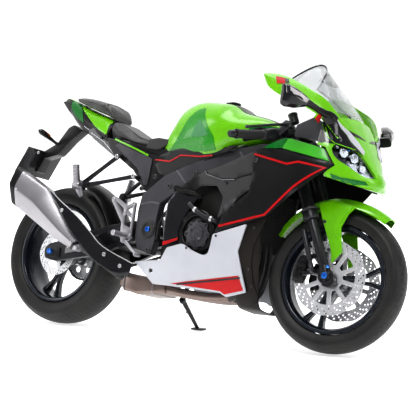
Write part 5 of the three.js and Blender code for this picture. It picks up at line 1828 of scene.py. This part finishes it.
# ---- subframe, seat covers, pillion hangers ----
def hanger_frame(end):
    """One side's seat rail, stays and passenger footrest hanger."""
    bm = tube(new(), spline([(-168, end * 72, 698), (-400, end * 64, 788), (-640, end * 52, 885)], 4), 10,
        14)
    rod(bm, (-240, end * 72, 606), (-440, end * 64, 803), 9, None, 14)
    rod(bm, (-170, end * 72, 700), (-240, end * 72, 606), 9, None, 14)
    rod(bm, (-398, end * 62, 789), (-398, end * 142, 758), 8, None, 14)
    rod(bm, (-288, end * 66, 653), (-288, end * 142, 672), 8, None, 14)
    beam(bm, [(-398, end * 142, 758), (-470, end * 146, 706), (-572, end * 152, 630)],
        [(14, 20), (13, 17), (13, 22)], corner=0.35)
    beam(bm, [(-288, end * 142, 672), (-430, end * 147, 646), (-572, end * 152, 620)],
        [(14, 20), (13, 16), (13, 22)], corner=0.35)
    return turned(bm, (-580, end * 140, 618), (-580, end * 162, 618), [(0, 19), (0.1, 21), (0.9, 21),
        (1, 19)], 28)


for end, name in SIDES:
    piece("subframe_" + name, hanger_frame(end), BLACK_METAL, "black_metal", bevel=1,
        replaces=["subframe"] if end < 0 else [])
cross = rod(new(), (-170, -75, 700), (-170, 75, 700), 10, None, 16)
rod(cross, (-420, -64, 798), (-420, 64, 798), 9, None, 16)
piece("subframe_cross", cross, BLACK_METAL, "black_metal")
hanger_bolts = new()
for end in (-1, 1):
    bolt(hanger_bolts, (-398, end * 150, 758), (0, end, 0), 10, 6)
    bolt(hanger_bolts, (-288, end * 150, 672), (0, end, 0), 10, 6)
    bolt(hanger_bolts, (-580, end * 162, 618), (0, end, 0), 9, 5)
piece("hanger_bolts", hanger_bolts, SILVER, "silver_metal")


def cover_half(x, z):
    return 127 - 12 * max(0, (-340 - x) / 160)


COVER = [(-102, 756), (-226, 778), (-330, 812), (-440, 842), (-505, 850), (-455, 780), (-398, 752),
    (-290, 690), (-242, 616), (-205, 606), (-112, 674)]
panel("seat_cover_{}", rounded(COVER, 10, 3), cover_half, 6, SATIN, "black_metal", bevel=1.6)
COVER_FOLD = [(-210, 754), (-236, 764), (-420, 822), (-440, 814), (-376, 770), (-288, 712), (-236, 636),
    (-218, 640)]
panel("seat_cover_fold_{}", rounded(COVER_FOLD, 8, 3), lambda x, z: cover_half(x, z) + 4, 4, FRAME_METAL,
    "frame_metal", bevel=2)
panel("seat_strip_{}", ribbon([(-446, 842), (-323, 802), (-236, 770)], 8), lambda x, z: cover_half(x, z)
    + 5, 5, LIME, "lime_plastic", bevel=1)

# ---- tail ----
TAIL = [(-504, 114, 922, 812), (-560, 108, 954, 832), (-650, 94, 980, 872), (-740, 74, 1012, 924),
    (-820, 46, 1044, 992), (-872, 16, 1053, 1030)]


def station_half(station, grow=0.0):
    """Half of a body's section: a flat top, a crease at mid height and a tucked under edge."""
    x, half, top, low = station
    middle = low + (top - low) * 0.45
    half += grow
    return [(0, top + grow), (half * 0.45, top + grow + (middle - top) * 0.06), (half * 0.8, top + grow
        + (middle - top) * 0.33), (half, middle), (half * 0.94, low + (middle - low) * 0.35),
        (half * 0.8, low - grow), (0, low - grow)]


def station_body(stations, steps=4, grow=0.0):
    rows = []
    for s in spline(stations, steps):
        rows.append(whole(s[0], finer(station_half(s, grow), 4)))
    return rings(new(), rows)


tail_skin = station_body(TAIL)
hollow = station_body([(-480, 102, 902, 690), (-560, 98, 940, 690), (-650, 84, 966, 690),
    (-740, 62, 994, 700)])
tail_shell = combine(tail_skin, [hollow])
tail_tree = tree_of(tail_shell)
piece("tail_shell", tail_shell, SATIN, "black_plastic", angle=26, replaces=["tail_cowl"])
TAIL_LIME = [(-756, 1016), (-700, 1022), (-640, 1008), (-546, 948), (-524, 926), (-508, 862), (-590, 900),
    (-660, 950)]
TAIL_DARK = [(-812, 1034), (-770, 1024), (-716, 984), (-676, 922), (-740, 950), (-800, 1006)]
film("tail_side_{}", rounded(TAIL_LIME, 9, 3), tail_tree, (4, 5, 7), LIME, "lime_plastic", bevel=1.2)
film("tail_panel_{}", rounded(TAIL_DARK, 5, 2), tail_tree, (3, 5, 7), DEEP_GREEN, "lime_plastic", bevel=1)
film("tail_line_{}", ribbon([(-672, 908), (-600, 872), (-512, 822)], 3.5), tail_tree, (2.2, 4, 7), WHITE,
    "white_plastic")
film("tail_slit_{}", [(-640, 886), (-560, 856), (-516, 826), (-560, 836)], tail_tree, (2, 4, 7),
    DARK_BLUE, "black_plastic")
piece("tail_tip", rings(new(), [[(x, -half, top + 1), (x, 0, top + 4), (x, half, top + 1),
    (x, 0, top - 3)] for x, half, top in ((-800, 30, 1034), (-830, 26, 1046), (-866, 12, 1053),
    (-876, 5, 1053))]), LIME, "lime_plastic", bevel=1)
# a black blade runs down from the tail to the subframe, with a bright edge
BLADE = [(-640, 884), (-600, 896), (-520, 866), (-470, 830), (-436, 776), (-446, 764), (-520, 806),
    (-592, 846)]
panel("tail_blade_{}", rounded(BLADE, 5, 3), lambda x, z: 112 - 0.06 * (-x - 440), 6, GLOSS,
    "black_plastic", bevel=1.5)
panel("tail_blade_edge_{}", ribbon([(-610, 874), (-520, 830), (-446, 774)], 3.5), lambda x, z: 115
    - 0.06 * (-x - 440), 4, WHITE, "white_plastic")
# a black liner under the tail carries the lamp
liner = plate(new(), rounded([(-510, 816), (-560, 838), (-660, 880), (-760, 938), (-826, 992),
    (-866, 1032), (-840, 1034), (-740, 985), (-600, 925), (-510, 880)], 6, 3), -44, 44)
piece("tail_liner", liner, SATIN, "black_plastic", bevel=3, segments=2)
piece("tail_lamp", rings(new(), [whole(x, [(0, top), (half, top - 4), (half * 0.9, low), (0, low - 2)])
    for x, half, top, low in ((-850, 26, 1030, 1018), (-868, 22, 1040, 1024), (-880, 15, 1046, 1030))]),
    RED_LENS, "lamp_lens", bevel=1.2)
cover_bolts = new()
for end in (-1, 1):
    for x, y, z in ((-520, 114, 858), (-540, 110, 850)):
        bolt(cover_bolts, (x, end * (y + 0.5), z), (0, end, 0), 5, 3)
piece("tail_bolts", cover_bolts, DARK_METAL, "dark_metal")

# ---- number plate hanger and indicators ----
HANGER = [(-735, 900), (-790, 926), (-822, 912), (-880, 836), (-964, 792), (-1004, 702), (-984, 694),
    (-948, 762), (-868, 782), (-800, 850)]
hanger = plate(new(), rounded(HANGER, 9, 3), -26, 26)
piece("hanger_arm", hanger, SATIN, "black_plastic", bevel=4, segments=3, replaces=["plate_hanger"])


def indicator_stalk(end):
    bm = turned(new(), (-868, end * 4, 822), (-915, end * 100, 866), [(0, 9), (0.5, 6), (1, 8)], 16)
    return rod(bm, (-915, end * 96, 866), (-917, end * 108, 868), 9, None, 18)


def indicator_shell(end):
    return beam(new(), [(-880, end * 24, 832), (-896, end * 60, 850), (-906, end * 88, 864),
        (-914, end * 112, 874), (-918, end * 124, 878)], [(9, 9), (15, 17), (24, 26), (24, 24), (9, 9)],
        side=(0, 0, 1), corner=0.35)


for end, name in SIDES:
    piece("indicator_stalk_" + name, indicator_stalk(end), MATT, "black_plastic")
    piece("indicator_shell_" + name, indicator_shell(end), SATIN, "black_plastic", bevel=1)
    for turn, where in ((0, "back"), (1, "front")):
        lens = new()
        offset = -13 if turn == 0 else 8
        corners = ((-900, 72, 856), (-910, 104, 870), (-910, 104, 880), (-900, 72, 866))
        rings(lens, [[(x + offset + d, end * y, z) for x, y, z in corners] for d in (0, 4)])
        piece("indicator_lens_" + where + "_" + name, lens, AMBER, "lamp_lens", bevel=1)

piece("plate_blank", rings(new(), [[(x + dx, y, z + dz) for x, y, z in [(-968 - 66 * v, u, 798 - 118 * v)
    for u, v in rounded([(-117, 0), (117, 0), (117, 1), (-117, 1)], 0.001, 1)]] for dx,
    dz in ((0, 0), (-6, 3))]), SATIN, "black_plastic", bevel=1.4, replaces=["number_plate"])
plate_frame = new()
for u0, v0, u1, v1 in ((-112, 0.04, 112, 0.04), (112, 0.04, 112, 0.96), (112, 0.96, -112, 0.96),
        (-112, 0.96, -112, 0.04)):
    rod(plate_frame, (-974 - 66 * v0, u0, 801 - 118 * v0), (-974 - 66 * v1, u1, 801 - 118 * v1), 2.4,
        None, 10)
piece("plate_frame", plate_frame, GLOSS, "black_plastic")
plate_bolts = new()
for u in (-60, 60):
    bolt(plate_bolts, (-980, u, 782), (-0.87, 0, 0.49), 6, 4)
    bolt(plate_bolts, (-962, u, 784), (0.87, 0, -0.49), 7, 4)
piece("plate_bolts", plate_bolts, SILVER, "silver_metal")

# ---- rearsets, pedals and pegs ----
REARSET = [(-240, 556), (-240, 400), (-262, 382), (-305, 392), (-306, 462), (-382, 562), (-362, 578),
    (-290, 540)]
HOLES = [[(-254, 536), (-254, 500), (-284, 520)], [(-254, 482), (-254, 440), (-288, 452), (-290, 486),
    (-284, 500)], [(-302, 524), (-302, 494), (-340, 540), (-352, 556)]]


def rearset_plate():
    return plate(new(), rounded(REARSET, 8, 3), -164, -155, holes=[rounded(h, 4, 3) for h in HOLES])


def foot_peg():
    profile = [(0, 12), (0.1, 12), (0.12, 9), (0.2, 9)]
    for k in range(8):
        t = 0.22 + 0.09 * k
        profile += [(t, 12), (t + 0.045, 12), (t + 0.05, 10), (t + 0.085, 10)]
    profile += [(0.97, 13), (1, 11)]
    return turned(new(), (-284, -164, 408), (-289, -234, 408), profile, 20)


pair("heel_plate_{}", rearset_plate, ALLOY, "silver_metal", bevel=1.4, replaces=["rearset_{}"])
pair("foot_peg_{}", foot_peg, ALLOY, "silver_metal")
peg_brackets = new()
for end in (-1, 1):
    beam(peg_brackets, [(-586, end * 164, 640), (-580, end * 164, 600), (-560, end * 163, 566)],
        [(12, 44), (12, 34), (10, 16)], corner=0.4)
piece("pillion_brackets", peg_brackets, ALLOY, "silver_metal", bevel=1)
rearset_bolts = new()
for end in (-1, 1):
    for x, z in ((-250, 548), (-252, 408), (-368, 566)):
        bolt(rearset_bolts, (x, end * 164, z), (0, end, 0), 8, 5)
piece("rearset_bolts", rearset_bolts, SILVER, "silver_metal")


def pedal():
    """A foot lever with its pivot and a ribbed toe peg."""
    bm = beam(new(), [(-270, -176, 384), (-240, -178, 364), (-200, -183, 336), (-168, -186, 322)],
        [(13, 18), (10, 14), (9, 12), (10, 13)], corner=0.4)
    turned(bm, (-270, -166, 384), (-270, -184, 384), [(0, 13), (0.2, 14), (0.8, 14), (1, 12)], 24)
    profile = [(0, 8), (0.1, 9)]
    for k in range(5):
        profile += [(0.2 + 0.15 * k, 9.5), (0.27 + 0.15 * k, 9.5), (0.28 + 0.15 * k, 8),
            (0.34 + 0.15 * k, 8)]
    return turned(bm, (-168, -180, 322), (-168, -213, 322), profile + [(1, 8)], 18)


piece("brake_pedal_arm", pedal(), ALLOY, "silver_metal", "brake_pedal", bevel=0.8,
    replaces=["brake_pedal"])
piece("shift_lever_arm", pedal(), ALLOY, "silver_metal", "shift_lever", bevel=0.8, mirror=True,
    replaces=["shift_lever"])


def pillion_peg():
    bm = beam(new(), [(-584, -180, 628), (-584, -188, 656), (-584, -196, 682), (-584, -203, 706)],
        [(34, 28), (30, 28), (28, 28), (30, 30)], side=(1, 0, 0), corner=0.48)
    for k in range(3):
        turned(bm, (-584, -190 - 4 * k, 660 + 14 * k), (-584, -192 - 4 * k, 667 + 14 * k),
            [(0, 16), (1, 16)], 18)
    return rod(bm, (-604, -178, 616), (-564, -178, 616), 16, None, 24)


pair("pillion_peg_{}_bar", pillion_peg, ALLOY, "silver_metal", "pillion_peg_{}", bevel=0.8,
    replaces=["pillion_peg_{}"])


def stand():
    """The side stand's leg, pivot and foot tab."""
    bm = turned(new(), (-94, 76, 163), (-111, 231, 57), [(0, 11), (0.5, 9.5), (1, 8)], 20)
    turned(bm, (-92, 66, 168), (-96, 80, 158), [(0, 14), (0.2, 15), (0.8, 15), (1, 13)], 24)
    return turned(bm, (-102, 150, 112), (-124, 150, 118), [(0, 4), (1, 4)], 12)


def stand_foot():
    bm = new()
    outline = rounded([(-138, 214), (-74, 214), (-74, 254), (-138, 254)], 9, 3)
    rings(bm, [[(x, y, z) for x, y in outline] for z in (49.5, 57.5)])
    centre = Matrix.Translation((-106, 234, 53.5))
    bm.transform(centre @ Matrix.Rotation(LEAN, 4, "X") @ centre.inverted())
    return bm


piece("side_stand_leg", stand(), BLACK_METAL, "black_metal", "side_stand", bevel=0.8,
    replaces=["side_stand"])
piece("side_stand_foot", stand_foot(), BLACK_METAL, "black_metal", "side_stand", bevel=1.2)


# ---- tank ----
TANK = [(-196, 66, 848, 764), (-184, 88, 868, 762), (-160, 106, 906, 758), (-126, 119, 968, 756),
    (-94, 127, 1008, 756), (-20, 147, 1031, 764), (72, 165, 1026, 776), (145, 171, 1015, 792),
    (205, 163, 981, 822), (300, 136, 960, 846), (352, 100, 944, 870), (408, 44, 918, 900)]


def tank_half(station):
    """Half of the tank's section: a crowned top, full shoulders and a knee recess under them."""
    x, half, top, low = station
    middle = low + (top - low) * 0.5
    knee = 0.86 if x < 60 else 0.92
    return [(0, top), (half * 0.34, top - (top - middle) * 0.04), (half * 0.66, top
        - (top - middle) * 0.2), (half * 0.9, top - (top - middle) * 0.55), (half, middle), (half * 0.97,
        low + (middle - low) * 0.6), (half * knee, low + (middle - low) * 0.25), (half * 0.8, low),
        (0, low)]


def tank_body():
    rows = []
    for s in spline(TANK, 5):
        half = spline(tank_half(s)[:8], 4)
        rows.append(whole(s[0], half + [(0, s[3])]))
    return rings(new(), rows)


tank_skin = tank_body()
tank_tree = tree_of(tank_skin)
tank_pocket = plate(new(), [(-86, 736), (246, 736), (246, 918), (-86, 918)], -75, 75)
piece("tank_shell", combine(tank_skin, [tank_pocket]), LIME, "lime_plastic", angle=40,
    replaces=["fuel_tank"])
TANK_DARK = [(-152, 790), (-112, 822), (-64, 882), (-34, 938), (6, 974), (44, 984), (66, 940), (100, 890),
    (132, 852), (140, 800), (90, 792), (-60, 792)]
TANK_PALE = [(44, 928), (104, 860), (60, 852), (2, 854), (20, 894)]
TANK_PAINTED_SHADE = [(286, 850), (292, 908), (340, 916), (398, 912), (402, 904), (352, 876)]
# painted shade: the darker front of the tank, under the handlebar, is laid on as a deep green film
TANK_FRONT = [(262, 842), (262, 872), (330, 904), (400, 900), (372, 880), (340, 862)]
film("tank_scallop_{}", rounded(TANK_DARK, 8, 3), tank_tree, (2, 4, 7), LEAF_GREEN, "lime_plastic")
film("tank_recess_{}", rounded(TANK_PALE, 5, 3), tank_tree, (3, 4, 7), PALE_GREEN, "lime_plastic")
film("tank_painted_shade_{}", rounded(TANK_PAINTED_SHADE, 4, 3), tank_tree, (2, 4, 7), DEEP_GREEN, "lime_plastic")
film("tank_front_trim_{}", rounded(TANK_FRONT, 5, 2), tank_tree, (3, 5, 6), SATIN, "gloss_black")
# filler cap with its ring of bolts, and the pad down the back of the tank
filler = turned(new(), (88, 0, 1022), (86, 0, 1033), [(0, 37), (0.4, 38), (0.55, 35), (0.7, 27),
    (0.75, 26), (1, 24)], 48)
piece("filler_cap", filler, BLACK_METAL, "black_metal", bevel=0.8)
filler_bolts = new()
for i in range(6):
    angle = math.tau * i / 6 + 0.3
    bolt(filler_bolts, (88 + 32 * math.cos(angle), 32 * math.sin(angle), 1030), (0, 0, 1), 3, 2)
piece("filler_bolts", filler_bolts, SILVER, "silver_metal")


def top_film(bm, outline, tree, lift, size):
    """A film laid on a body from above, over an (x, y) outline."""
    made = split(flat(outline), size)
    for v in made.verts:
        hit, normal = tree.ray_cast(Vector((v.co.x, v.co.z, 1500)), Vector((0, 0, -1)))[:2]
        spot = Vector((v.co.x, v.co.z, hit.z if hit else 900))
        v.co = spot + (normal if hit else Vector((0, 0, 1))) * lift
    bmesh.ops.recalc_face_normals(made, faces=made.faces)
    thicken(made, (0, 0, -3))
    return absorb(bm, made)


pad_outline = rounded([(-186, -38), (-120, -56), (-44, -34), (-20, 0), (-44, 34), (-120, 56), (-186, 38)],
    12, 4)
piece("tank_pad", top_film(new(), pad_outline, tank_tree, 2.2, 10), SATIN, "gloss_black")
neck_outline = rounded([(118, -58), (300, -44), (392, -24), (392, 24), (300, 44), (118, 58), (150, 0)],
    10, 3)
piece("tank_neck_cover", top_film(new(), neck_outline, tank_tree, 1.8, 12), SATIN, "gloss_black")

# the black panel between the tank and the frame, with its red line
UNDER = [(-215, 756), (-127, 792), (-75, 802), (20, 812), (105, 806), (180, 812), (240, 822), (222, 800),
    (120, 768), (55, 740), (-100, 676), (-160, 690)]


def under_half(x, z):
    return 136 + 0.05 * x - 0.1 * (z - 740)


panel("under_tank_panel_{}", rounded(UNDER, 8, 3), under_half, 6, SATIN, "gloss_black", bevel=1.6)
panel("under_tank_line_{}", ribbon([(-212, 754), (-112, 746), (-56, 774), (56, 770), (120, 776)], 6),
    lambda x, z: under_half(x, z) + 2, 3, RED, "gloss_black")

# ---- seats ----
RIDER_SEAT = [(-199, 66, 846, 806), (-250, 94, 852, 808), (-344, 118, 864, 822), (-400, 120, 888, 838),
    (-450, 118, 912, 846), (-496, 108, 938, 856)]
PILLION_SEAT = [(-516, 72, 968, 934), (-548, 88, 1014, 956), (-610, 88, 1030, 976),
    (-700, 72, 1048, 1006), (-786, 42, 1060, 1036)]
FULL = 0.001  # the pads are simulated at full size, in metres, then scaled with the rest


def pad_form(stations, shrink):
    """A soft closed form a little smaller than the pad, with drawn-in sides."""
    rows = []
    for s in spline(stations, 5):
        x, half, top, low = s
        half, top, low = half - shrink, top - shrink * 0.9, low + shrink * 0.3
        section = spline([(0, top), (half * 0.5, top - 1), (half * 0.82, top - 5), (half * 0.97, top
            - (top - low) * 0.4), (half * 0.93, top - (top - low) * 0.75), (half * 0.82, low)], 3)
        rows.append(whole(x, section + [(0, low)]))
    return rings(new(), rows)


def swollen(name, stations, shrink, cap):
    """Inflates the form as sewn cloth with its base held down, and returns the settled surface."""
    bm = pad_form(stations, shrink)
    bm.transform(Matrix.Scale(FULL, 4))
    bmesh.ops.remove_doubles(bm, verts=bm.verts, dist=0.00002)
    bmesh.ops.recalc_face_normals(bm, faces=bm.faces)
    mesh = bpy.data.meshes.new(name)
    bm.to_mesh(mesh)
    obj = bpy.data.objects.new(name, mesh)
    bpy.context.scene.collection.objects.link(obj)
    bpy.context.view_layer.objects.active = obj
    obj.select_set(True)
    remesh = obj.modifiers.new("voxels", "REMESH")
    remesh.mode = "VOXEL"
    remesh.voxel_size = 0.005
    bpy.ops.object.modifier_apply(modifier="voxels")
    start = [v.co.copy() for v in obj.data.vertices]
    held = obj.vertex_groups.new(name="held")
    for v in obj.data.vertices:
        if v.normal.z < -0.6:
            held.add([v.index], 1.0, "REPLACE")
    cloth = obj.modifiers.new("cloth", "CLOTH")
    settings = cloth.settings
    settings.quality = 6
    settings.mass = 0.3
    settings.use_pressure = True
    settings.uniform_pressure_force = 4
    settings.tension_stiffness = 20
    settings.compression_stiffness = 20
    settings.bending_stiffness = 2
    settings.vertex_group_mass = "held"
    settings.effector_weights.gravity = 0
    cloth.point_cache.frame_end = 20
    for step in range(1, 21):
        bpy.context.scene.frame_set(step)
    shape = obj.evaluated_get(bpy.context.evaluated_depsgraph_get())
    settled = [v.co.copy() for v in shape.data.vertices]
    obj.modifiers.remove(cloth)
    bpy.context.scene.frame_set(1)
    for v, begin, end in zip(obj.data.vertices, start, settled):
        move = end - begin
        if move.length > cap * FULL:
            move = move.normalized() * cap * FULL
        v.co = begin + move
    smooth = obj.modifiers.new("soft", "SMOOTH")
    smooth.factor = 0.5
    smooth.iterations = 4
    finer_mesh = obj.modifiers.new("finer", "SUBSURF")
    finer_mesh.levels = 1
    bpy.context.view_layer.update()
    result = new()
    result.from_mesh(obj.evaluated_get(bpy.context.evaluated_depsgraph_get()).to_mesh())
    bpy.data.objects.remove(obj)
    result.transform(Matrix.Scale(1 / FULL, 4))
    return result


def pinch(bm, lines, width, depth):
    """Draws the cover in along stitched lines, each given as a function of (x, y) to the distance."""
    for v in bm.verts:
        if v.normal.z < 0.15:
            continue
        for far in lines:
            gap = abs(far(v.co.x, v.co.y))
            if gap < width:
                v.co.z -= depth * (0.5 + 0.5 * math.cos(math.pi * gap / width))
    return bm


def seam(bm, tree, path, radius):
    """A stitched bead lying on the cover, seen from above."""
    spots = []
    for x, y in spline(path, 6):
        hit = tree.ray_cast(Vector((x, y, 1300)), Vector((0, 0, -1)))[0]
        if hit:
            spots.append(tuple(hit + Vector((0, 0, 0.2))))
    return tube(bm, spots, radius, 8)


def stitches(bm, tree, path):
    """Single stitches beside a seam."""
    spots = spline(path, 14)
    for i in range(0, len(spots) - 1, 2):
        ends = [tree.ray_cast(Vector((*p, 1300)), Vector((0, 0, -1)))[0] for p in spots[i:i + 2]]
        if ends[0] and ends[1]:
            rod(bm, ends[0] + Vector((0, 0, 0.6)), ends[1] + Vector((0, 0, 0.6)), 0.9, None, 6)
    return bm


rider = swollen("rider_form", RIDER_SEAT, 6, 9)
pinch(rider, [lambda x, y: x + 262 + 0.0016 * y * y], 9, 3.0)
pinch(rider, [lambda x, y: abs(y) - 74 - 0.1 * (x + 300)], 8, 2.4)
rider_tree = tree_of(rider)
rider_pad = piece("rider_seat_pad", rider, VINYL, "seat_vinyl", angle=70, replaces=["rider_seat"])
pillion = swollen("pillion_form", PILLION_SEAT, 5, 8)
pinch(pillion, [lambda x, y: x + 574 - 0.002 * y * y], 8, 2.6)
pillion_tree = tree_of(pillion)
pillion_pad = piece("pillion_seat_pad", pillion, PILLION_VINYL, "seat_vinyl", angle=70,
    replaces=["pillion_seat"])
SEAT_BASE = [(-452, 846), (-340, 826), (-230, 812), (-150, 804), (-112, 762), (-230, 766), (-340, 790),
    (-440, 826)]
panel("seat_base_{}", rounded(SEAT_BASE, 6, 3), 104, 22, SATIN, "black_plastic", bevel=1.5)
panel("seat_nose_{}", rounded([(-270, 806), (-262, 846), (-206, 854), (-146, 846), (-158, 822),
    (-198, 800)], 9, 4), lambda x, z: 112 - 0.02 * (z - 800), 18, VINYL, "seat_vinyl", bevel=5,
    segments=3)
seams = new()
for side in (-1, 1):
    path = [(x, side * (74 + 0.1 * (x + 300))) for x in (-236, -270, -310, -350, -390, -430, -476)]
    seam(seams, rider_tree, path, 1.6)
    stitches(seams, rider_tree, [(x, y + side * 4) for x, y in path])
seam(seams, rider_tree, [(-262 - 0.0016 * y * y, y) for y in (-70, -40, 0, 40, 70)], 1.6)
seam(seams, pillion_tree, [(-574 + 0.002 * y * y, y) for y in (-72, -40, 0, 40, 72)], 1.6)
stitches(seams, pillion_tree, [(-580 + 0.002 * y * y, y) for y in (-72, -40, 0, 40, 72)])
piece("seat_seams", seams, SATIN, "seat_vinyl")

# ---- finishes of the CAD nodes that stay as they are ----
KEPT = {"lime_plastic": LIME, "gloss_black": GLOSS, "white_plastic": WHITE, "black_plastic": SATIN,
        "black_wheel": WHEEL, "tyre": TYRE, "grip_rubber": GRIP, "seat_vinyl": VINYL,
        "black_metal": BLACK_METAL, "dark_metal": DARK_METAL, "frame_metal": FRAME_METAL,
        "silver_metal": SILVER, "brake_steel": STEEL, "titanium": TITANIUM, "clear_screen": SCREEN,
        "lamp_lens": LENS, "battery_film": BATTERY, "circuit_board": BOARD}
slots = {part["node"]: part["material_slot"] for part in frame["record"]["subparts"]}
for node, obj in frame["nodes"].items():
    obj.data.materials.clear()
    obj.data.materials.append(KEPT[slots[node]])

bpy.ops.mesh.primitive_plane_add(size=8)
floor = bpy.context.active_object
floor.name = "floor"
floor.data.materials.append(FLOOR)
# the paper sweep glows to plain white behind the model
paper = FLOOR.node_tree
far = backwards(paper, add_node(paper, "TexCoord", "Object"))
glow = add_node(paper, "MapRange", "Result", Value=far, From_Min=-0.5, From_Max=0.3, To_Min=0.0,
    To_Max=0.9)
plug(paper, paper.nodes["Principled BSDF"].inputs["Emission Color"], rgba((1, 1, 1)))
plug(paper, paper.nodes["Principled BSDF"].inputs["Emission Strength"], glow)
